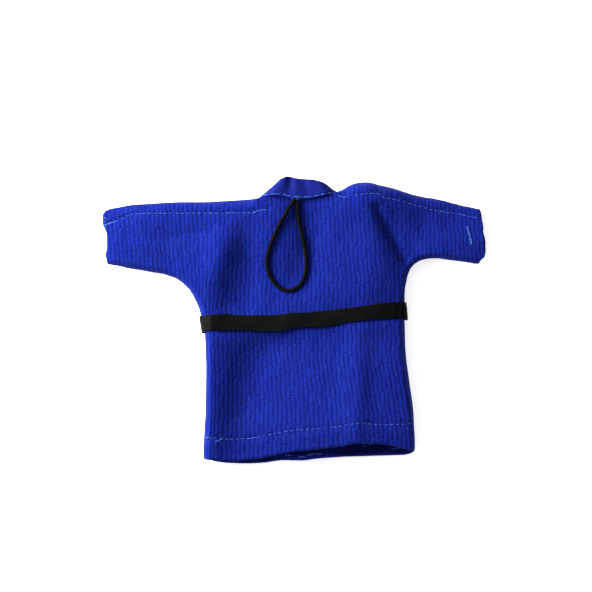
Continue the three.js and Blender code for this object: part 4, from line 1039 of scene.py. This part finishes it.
def join(name, objs):
    """One mesh from several."""
    verts, faces4, attr, off = [], [], [], 0
    for o in objs:
        me = o.data
        co = np.zeros(len(me.vertices) * 3, np.float32)
        me.vertices.foreach_get("co", co)
        verts.append(co.reshape(-1, 3) / MM)
        a = np.zeros(len(me.vertices) * 3, np.float32)
        me.attributes["weave"].data.foreach_get("vector", a)
        attr.append(a.reshape(-1, 3))
        idx = np.zeros(len(me.loops), np.int32)
        me.loops.foreach_get("vertex_index", idx)
        faces4.append(idx.reshape(-1, 4) + off)
        off += len(me.vertices)
    mat = objs[0].data.materials[0]
    for o in objs:
        bpy.data.objects.remove(o, do_unlink=True)
    return mesh_object(name, np.vstack(verts), [np.vstack(faces4)], {"weave": np.vstack(attr)}, mats=[mat])


def arc(points, n=40):
    return catmull(points, n)


# the knot: the ribbon passed once over itself, drawn tight, and both ends coming out below
kx, ky = 3.0, -2.0
knot_bits = []
over = arc([(kx + 1.6, ky - 4.0, 1.15), (kx + 1.0, ky - 3.9, 0.5), (kx + 0.4, ky - 1.5, 0.24), (kx - 0.4, ky + 1.6, 0.26), (kx - 0.9, ky + 3.7, 0.6), (kx - 1.1, ky + 3.9, 1.2),
            (kx - 0.9, ky + 2.6, 1.6), (kx, ky, 1.66)], 60)
knot_bits.append(ribbon_strip("k1", over, 5.6 - 1.6 * np.abs(np.linspace(-1, 1, 60)) ** 2, 0.36, up=(0.25, 0, -1.0) if False else (0, 0, 1)))
side1 = arc([(kx - 6.2, ky - 1.6, 1.3), (kx - 4.6, ky - 1.2, 0.75), (kx - 2.2, ky - 0.4, 0.72), (kx + 1.2, ky + 0.6, 0.98), (kx + 4.2, ky + 1.2, 0.8), (kx + 6.2, ky + 1.4, 1.35)], 40)
knot_bits.append(ribbon_strip("k2", side1, 4.8 - 1.4 * np.exp(-np.linspace(-2, 2, 40) ** 2), 0.4))
side2 = arc([(kx - 5.4, ky + 1.8, 1.5), (kx - 3.0, ky + 1.4, 1.1), (kx, ky, 1.2), (kx + 3.2, ky - 1.2, 1.05), (kx + 5.4, ky - 1.8, 1.5)], 40)
knot_bits.append(ribbon_strip("k3", side2, 4.6, 0.4))
knot = join("belt_knot_ribbon", knot_bits)
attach(knot, "belt")
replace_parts(knot, "belt_knot")


def tail(side):
    root = np.array([kx + side * 3.4, ky - 4.7])
    a = side * math.radians(24)
    pts = []
    for s in np.linspace(-1.2, 31.0, 24):
        bend = side * 0.0022 * max(s, 0) ** 2
        d, o = np.array([math.sin(a), -math.cos(a)]), np.array([math.cos(a), math.sin(a)])
        p = root + d * s + o * bend
        pts.append((p[0], p[1], 0.42 + 0.16 * math.sin(s * 0.33 + side) * smooth(2, 8, s)))
    line = catmull(pts, 70)
    s = np.linspace(-1.2, 31.0, 70)
    return ribbon_strip("belt_tail_left_ribbon" if side < 0 else "belt_tail_right_ribbon", line, 3.2 + 2.8 * smooth(0, 6, s), 0.32)


tl, tr = tail(-1), tail(1)
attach(tl, "left_tail")
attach(tr, "right_tail")
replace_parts(tl, "belt_tail_left")
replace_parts(tr, "belt_tail_right")

# ------------------------------------------------------------------ hanging cord
CORD_D = 1.4
plan = [(295.6, 195.8), (294.6, 198.2), (293.2, 200.6), (290.9, 204.2), (287.5, 209.4), (284.2, 215.4), (280, 222.3), (275.8, 231), (272, 239.6), (268.8, 248.5), (266.9, 256.5), (266.4, 263),
        (267.2, 269), (269.2, 275), (272.4, 280.6), (276.6, 285.6), (281.4, 288.6), (286.6, 289.9), (291.6, 289.3), (296.4, 286.9), (300.6, 283.0), (303.6, 277.6),
        (305.4, 270.4), (305.9, 261.5), (305.2, 252.6), (303.6, 243.6), (301.4, 234.6), (299.4, 225.4), (298.0, 216.2), (297.3, 207.6), (297.3, 203), (297.9, 199.0), (298.8, 195.8)]
xy = catmull([P(*p) for p in plan], 260)
cz = back_z(xy[:, 0], xy[:, 1]) + 0.13 + CORD_D / 2
f_in = np.linspace(0, 1, 260)
# the cord is springy: it doesn't follow the ribs, and both ends go in under the collar
kern = np.exp(-0.5 * (np.arange(-14, 15) / 6.0) ** 2)
kern /= kern.sum()
cz = np.maximum(cz, np.convolve(np.pad(cz, 14, mode="edge"), kern, "valid")) + 0.05
cz -= 0.45 * (smooth(0.035, 0.0, f_in) + smooth(0.965, 1.0, f_in))
cz += 0.3 * smooth(0.16, 0.09, f_in) * smooth(0.03, 0.08, f_in) + 0.3 * np.exp(-((f_in - 0.75) / 0.08) ** 2) + 0.15 * (f_in < 0.5)
loop_pts = np.stack([xy[:, 0], xy[:, 1], cz], 1)[::2]
cu = bpy.data.curves.new("hanging_cord", "CURVE")
cu.dimensions = "3D"
cu.bevel_depth = (CORD_D / 2 + 0.08) * MM
cu.bevel_resolution = 4
cu.use_fill_caps = True
sp = cu.splines.new("POLY")
sp.points.add(len(loop_pts) - 1)
sp.points.foreach_set("co", np.concatenate([loop_pts * MM, np.ones((len(loop_pts), 1))], 1).ravel())
sp.use_smooth = True
cord = bpy.data.objects.new("hanging_cord", cu)
bpy.context.scene.collection.objects.link(cord)
cu.materials.append(CORD)
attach(cord, "hanging_loop")
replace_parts(cord, "hanging_loop")

# ------------------------------------------------------------------ stitches and thread ends
def tube(points, r, sides=6, taper=True):
    p = np.array(points, float)
    t = np.gradient(p, axis=0)
    t /= np.maximum(np.linalg.norm(t, axis=1, keepdims=True), 1e-9)
    up = np.where(np.abs(t[:, 2:3]) > 0.9, np.array([[1.0, 0, 0]]), np.array([[0, 0, 1.0]]))
    a = np.cross(t, up)
    a /= np.linalg.norm(a, axis=1, keepdims=True)
    b = np.cross(a, t)
    n = len(p)
    rad = np.full(n, r)
    if taper:
        rad[0] = rad[-1] = r * 0.45
    rings = []
    for k in range(sides):
        th = 2 * math.pi * k / sides
        rings.append(p + (a * math.cos(th) + b * math.sin(th)) * rad[:, None])
    v = np.stack(rings, 1).reshape(-1, 3)
    ring = np.arange(n * sides).reshape(n, sides)
    nx = np.roll(ring, -1, 1)
    f = np.stack([ring[:-1], nx[:-1], nx[1:], ring[1:]], -1).reshape(-1, 4)
    c0, c1 = len(v), len(v) + 1
    v = np.vstack([v, p[0] - t[0] * r * 0.4, p[-1] + t[-1] * r * 0.4])
    caps = np.array([[ring[0, k], c0, c0, ring[0, (k + 1) % sides]] for k in range(sides)])
    tri = [[c0, ring[0, (k + 1) % sides], ring[0, k]] for k in range(sides)] + [[c1, ring[-1, k], ring[-1, (k + 1) % sides]] for k in range(sides)]
    return v, f, np.array(tri)


class Thread:
    """Collects thread tubes into one mesh."""
    def __init__(self):
        self.v, self.q, self.t, self.n = [], [], [], 0

    def add(self, points, r=0.15):
        v, q, t = tube(points, r)
        self.v.append(v)
        self.q.append(q + self.n)
        self.t.append(t + self.n)
        self.n += len(v)

    def object(self, name):
        v = np.vstack(self.v)
        return outward(mesh_object(name, v, [np.vstack(self.q), np.vstack(self.t)], {"weave": v.copy()}, mats=[THREAD]))


def dashes(thread, points, height, pitch=2.25, dash=1.6, r=0.105, keep=None, jitter=0.26, sink=0.22, mm=False):
    line = catmull([p if mm else P(*p) for p in points], 900)
    s = np.concatenate([[0], np.cumsum(np.linalg.norm(np.diff(line, axis=0), axis=1))])
    at = 0.3
    while at + dash < s[-1]:
        a, b = at + rng.normal() * jitter, at + dash + rng.normal() * jitter
        u = np.linspace(a, b, 9)
        x, y = np.interp(u, s, line[:, 0]), np.interp(u, s, line[:, 1])
        y = y + rng.normal() * 0.05
        if keep is None or keep(x.mean()):
            z = height(x, y)
            arch = np.sin(np.linspace(0, math.pi, 9)) ** 0.5
            z = z - sink + sink * arch + 0.03
            thread.add(np.stack([x, y, z], 1), r * (0.98 + 0.16 * math.sin(3.7 * at)))
        at += pitch * (1 + 0.05 * rng.normal())


above = lambda x, y: back_z(x, y) + 0.17
shoulder_l = [(104, 225), (108, 223.5), (112, 222), (121, 218.5), (128, 214.8), (139, 213.2), (165, 212.8), (195, 212.7), (225, 212.7), (252, 212.2)]
shoulder_r = [(337, 195.2), (344, 197), (352, 195.2), (358, 194.5), (368, 193.3), (377, 193.6), (383, 197), (392, 199), (400, 200), (405, 202), (420, 206), (430, 209), (440, 210.6), (457, 213.6), (480, 217.8)]
jobs = [
    ("left_sleeve_stitches", shoulder_l, lambda x: x < SPLIT_L - 0.4, "sleeve_thread_left", "L"),
    ("left_shoulder_stitches", shoulder_l, lambda x: x >= SPLIT_L - 0.4, "shoulder_thread_left", "J"),
    ("right_sleeve_stitches", shoulder_r, lambda x: x > SPLIT_R + 0.4, "sleeve_thread_right", "R"),
    ("right_shoulder_stitches", shoulder_r, lambda x: x <= SPLIT_R + 0.4, "shoulder_thread_right", "J"),
]
for name, line, keep, node, where in jobs:
    rng = np.random.default_rng(11)
    th = Thread()
    dashes(th, line, above, keep=keep)
    if name == "left_sleeve_stitches":             # the first stitches at the cuff are long and thick
        for pts in ([(103.6, 224.8), (106.5, 223.8), (110, 222.6)], [(110.6, 222.4), (113, 221.4), (115.4, 220.4)], [(104.5, 224.0), (108, 222.9), (112, 221.6)]):
            q = catmull([P(*v) for v in pts], 10)
            th.add(np.stack([q[:, 0], q[:, 1], above(q[:, 0], q[:, 1]) + 0.06], 1), 0.17)
    if name == "left_shoulder_stitches":           # the knot and tail where the seam starts
        x0, y0 = P(254, 212)
        z0 = float(above(x0, y0)) + 0.12
        for k in range(5):
            a = k * 1.3
            th.add([(x0 + 0.45 * math.cos(a + j * 0.8) * (1 - 0.08 * j), y0 + 0.3 * math.sin(a + j * 0.8), z0 + 0.1 * k + 0.05 * math.sin(j)) for j in range(7)], 0.13)
        tx = np.linspace(0, 1, 9)
        x, y = P(255.5, 211.6)[0] + tx * 4.4, P(255.5, 211.6)[1] + 1.3 * tx + 0.25 * np.sin(tx * 5)
        th.add(np.stack([x, y, above(x, y) + 0.05], 1), 0.12)
    ob = th.object(name)
    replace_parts(ob, node)
    if where == "J":
        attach(ob, "jacket")
    elif where == "L":
        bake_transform(ob)
    else:
        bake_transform(ob)

rng = np.random.default_rng(23)
th = Thread()
hem_line = [(207, 437.5), (215, 438), (225, 438.7), (235, 439), (245, 438.6), (255, 437.6), (262, 436), (270, 434), (285, 431.2), (300, 429.2), (315, 428.3), (330, 427), (345, 424.6), (352, 423.2), (358, 422),
            (364, 422.6), (370, 423.2), (385, 424), (398, 423.6), (412, 423)]
dashes(th, hem_line, above, dash=1.5)
x0, y0 = P(207.5, 437.5)                            # knot and loose end at the left side
z0 = float(above(x0, y0)) + 0.1
for k in range(4):
    th.add([(x0 + 0.6 * math.cos(k + j * 0.9), y0 + 0.35 * math.sin(k * 1.7 + j * 0.9), z0 + 0.12 * k) for j in range(6)], 0.13)
tx = np.linspace(0, 1, 12)
x, y = P(222.5, 437.6)[0] - 3.0 * tx + 0.3 * np.sin(tx * 6), P(222.5, 437.6)[1] - 1.7 * tx
th.add(np.stack([x, y, above(x, y) + 0.1 + 0.5 * np.sin(tx * 3.1)], 1), 0.12)
ob = th.object("hem_stitches_back")
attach(ob, "jacket")
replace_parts(ob, "hem_thread_back")

# stitches along the collar seam: they lie on the band, a little inside its sewn edge
rng = np.random.default_rng(5)
th = Thread()
band_side = -1.0
for side in (1,):
    at = 0.0
    top_face = E * 0.925 + F * 0.075 - nor * (half_t * 0.75 + rip[:, None] * 0.22)
    a = 2.0
    while a < s_b[-1] - 3:
        at_x = float(np.interp(a, s_b, mid_b[:, 0]))
        long_ = float(np.interp(a, s_b, mid_b[:, 2])) > 6 and at_x < 7
        u = np.linspace(a, a + (2.9 if long_ else 1.35), 9)
        p = np.stack([np.interp(u, s_b, top_face[:, k]) for k in range(3)], 1)
        nn = np.stack([np.interp(u, s_b, nor[:, k]) for k in range(3)], 1)
        th.add(p - nn * (0.05 + 0.16 * np.sin(np.linspace(0, math.pi, 9)) ** 0.5 - 0.12)[:, None], 0.15)
        a += (3.8 if long_ else 2.2) * (1 + 0.05 * rng.normal())
ob = th.object("collar_seam_stitches")
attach(ob, "jacket")
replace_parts(ob, "collar_seam_thread")

# tack at the right cuff, frayed ends at the left cuff
th = Thread()
tack = [(467, 225.5), (468, 229.5), (469.3, 234), (470.3, 238.5), (471.6, 244.6)]
line = catmull([P(*p) for p in tack], 60)
for a, b in ((0, 18), (14, 36), (33, 60)):
    x, y = line[a:b, 0], line[a:b, 1]
    for off, up_, r in ((0.0, 0.14, 0.15), (0.32, 0.10, 0.12), (-0.3, 0.08, 0.11), (0.12, 0.2, 0.10)):
        wob = 0.12 * np.sin(np.linspace(0, 3, b - a) + off * 7)
        q = slice(int(2 + 6 * abs(off)), b - a - int(4 * abs(off)))
        th.add(np.stack([x + off + wob, y - 0.4 * off, above(x, y) + up_], 1)[q][::2], r)
ob = th.object("right_cuff_tack")
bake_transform(ob)
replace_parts(ob, "cuff_tack_right")

rng = np.random.default_rng(31)
th = Thread()
for k in range(13):
    py = 216.5 + 11 * rng.random()
    x0, y0 = P(103.6, py)
    a = rng.normal() * 0.7 + math.pi * (0.85 + 0.3 * rng.random())
    L = 0.7 + 1.3 * rng.random()
    tt = np.linspace(0, 1, 7)
    bend = rng.normal() * 0.5
    x = x0 + 0.9 + (math.cos(a) * L * tt) + bend * tt * tt * 0.4
    y = y0 + math.sin(a) * L * tt - bend * tt * tt
    xx = np.maximum(x, -75.0)
    th.add(np.stack([x, y, back_z(xx, y) + 0.1 + 0.35 * np.sin(tt * 2.6) - 0.9 * np.maximum(-75.6 - x, 0)], 1), 0.10)
ob = th.object("left_cuff_frayed_ends")
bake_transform(ob)

# inside of the front hem: its own stitches and the loose thread seen through the open hem
inner_f = lambda x, y: front_z(x, y) + np.where(x > 12, lift(x, y), 0) + CLOTH + 0.8
for name, pts, node in (("hem_stitches_left_front", [(-34.0, -50.6), (-26, -52.2), (-18, -52.6), (-10.4, -52.4)], "hem_thread_left_front"),
                        ("hem_stitches_right_front", [(6.4, -51.6), (12, -51.0), (18.8, -50.4), (28, -50.0), (38, -49.4), (46.0, -48.6)], "hem_thread_right_front")):
    th = Thread()
    z_in = (lambda x, y: front_z(x, y) + CLOTH + 0.78) if "left" in name else (lambda x, y: front_z(x, y) + lift(x, y) + CLOTH + 0.78)
    dashes(th, pts, z_in, mm=True)
    if "left" in name:
        for cx, cy in ((-3.5, -54.5), (1.5, -55.2), (5.5, -54.4), (8.5, -54.0)):
            tt = np.linspace(0, 1, 8)
            x, y = cx + 2.8 * tt + 0.2 * np.sin(tt * 7 + cx), cy + 0.22 * np.sin(tt * 3.4 + cx) + 0.3 * tt
            th.add(np.stack([x, y, z_in(x, y) + 2.2], 1), 0.14)
    else:
        for cx, cy in ((27.5, -50.8), (30.0, -50.2), (41, -51.6), (43.5, -51.0), (39, -52.0)):
            tt = np.linspace(0, 1, 8)
            x, y = cx + 1.9 * tt + 0.2 * np.sin(tt * 7 + cx), cy + 0.3 * np.sin(tt * 3.6 + cx) + 0.25 * tt
            th.add(np.stack([x, y, z_in(x, y) + 0.3], 1), 0.14)
    ob = th.object(name)
    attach(ob, "jacket")
    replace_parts(ob, node)

# the tack that holds the cord's ends, under the edge of the collar
th = Thread()
for k in range(4):
    y = 48.15 + 0.18 * k
    th.add([(-0.9 + 0.1 * k, y, 9.0), (0.2, y, 9.35), (1.6, y + 0.05, 9.35), (2.9 - 0.1 * k, y, 9.0)], 0.13)
ob = th.object("cord_tack")
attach(ob, "jacket")
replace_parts(ob, "loop_tack")

for ob in [o for o in bpy.data.objects if o.type in ("MESH", "CURVE") and ("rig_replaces" in o or "cloth" in o.name or "frayed" in o.name or "back_" in o.name)]:
    if ob.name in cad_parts:
        continue

# ------------------------------------------------------------------ table, light and camera
me = bpy.data.meshes.new("floor")
s = 6.0
me.from_pydata([(-s, -s, -0.0002), (s, -s, -0.0002), (s, s, -0.0002), (-s, s, -0.0002)], [], [(0, 1, 2, 3)])
floor = bpy.data.objects.new("floor", me)
bpy.context.scene.collection.objects.link(floor)
fm, nt, bsdf = nodes_of("pale table")
bsdf.inputs["Base Color"].default_value = (0.93, 0.93, 0.935, 1)
bsdf.inputs["Roughness"].default_value = 0.9
bsdf.inputs["Specular IOR Level"].default_value = 0.1
bsdf.inputs["Emission Color"].default_value = (1, 1, 1, 1)     # a lit table
bsdf.inputs["Emission Strength"].default_value = 0.50
me.materials.append(fm)


def area(name, at, size, watts, target=(0, 0, 0), colour=(1, 1, 1)):
    l = bpy.data.lights.new(name, "AREA")
    l.shape = "DISK"
    l.size = size
    l.energy = watts
    l.color = colour
    o = bpy.data.objects.new(name, l)
    o.location = at
    o.rotation_euler = (Vector(target) - Vector(at)).to_track_quat("-Z", "Y").to_euler()
    bpy.context.scene.collection.objects.link(o)
    return o


area("key", (-0.50, 0.235, 0.288), 0.42, 22.0)
w = bpy.data.worlds.new("studio")
w.use_nodes = True
w.node_tree.nodes["Background"].inputs[0].default_value = (1, 1, 1, 1)
w.node_tree.nodes["Background"].inputs[1].default_value = 0.72
bpy.context.scene.world = w

cam = bpy.data.cameras.new("camera")
co = bpy.data.objects.new("camera", cam)
bpy.context.scene.collection.objects.link(co)
cam.sensor_width = 36.0
DIST = 1.25
cam.lens = 36.0 * DIST / (592 * 0.4 * MM)
co.location = (0.84 * MM, 9.36 * MM, DIST + 0.008)
co.rotation_euler = (0, 0, 0)
cam.clip_end = 20
bpy.context.scene.camera = co
bpy.context.scene.view_settings.view_transform = "Standard"
bpy.context.scene.view_settings.look = "None"
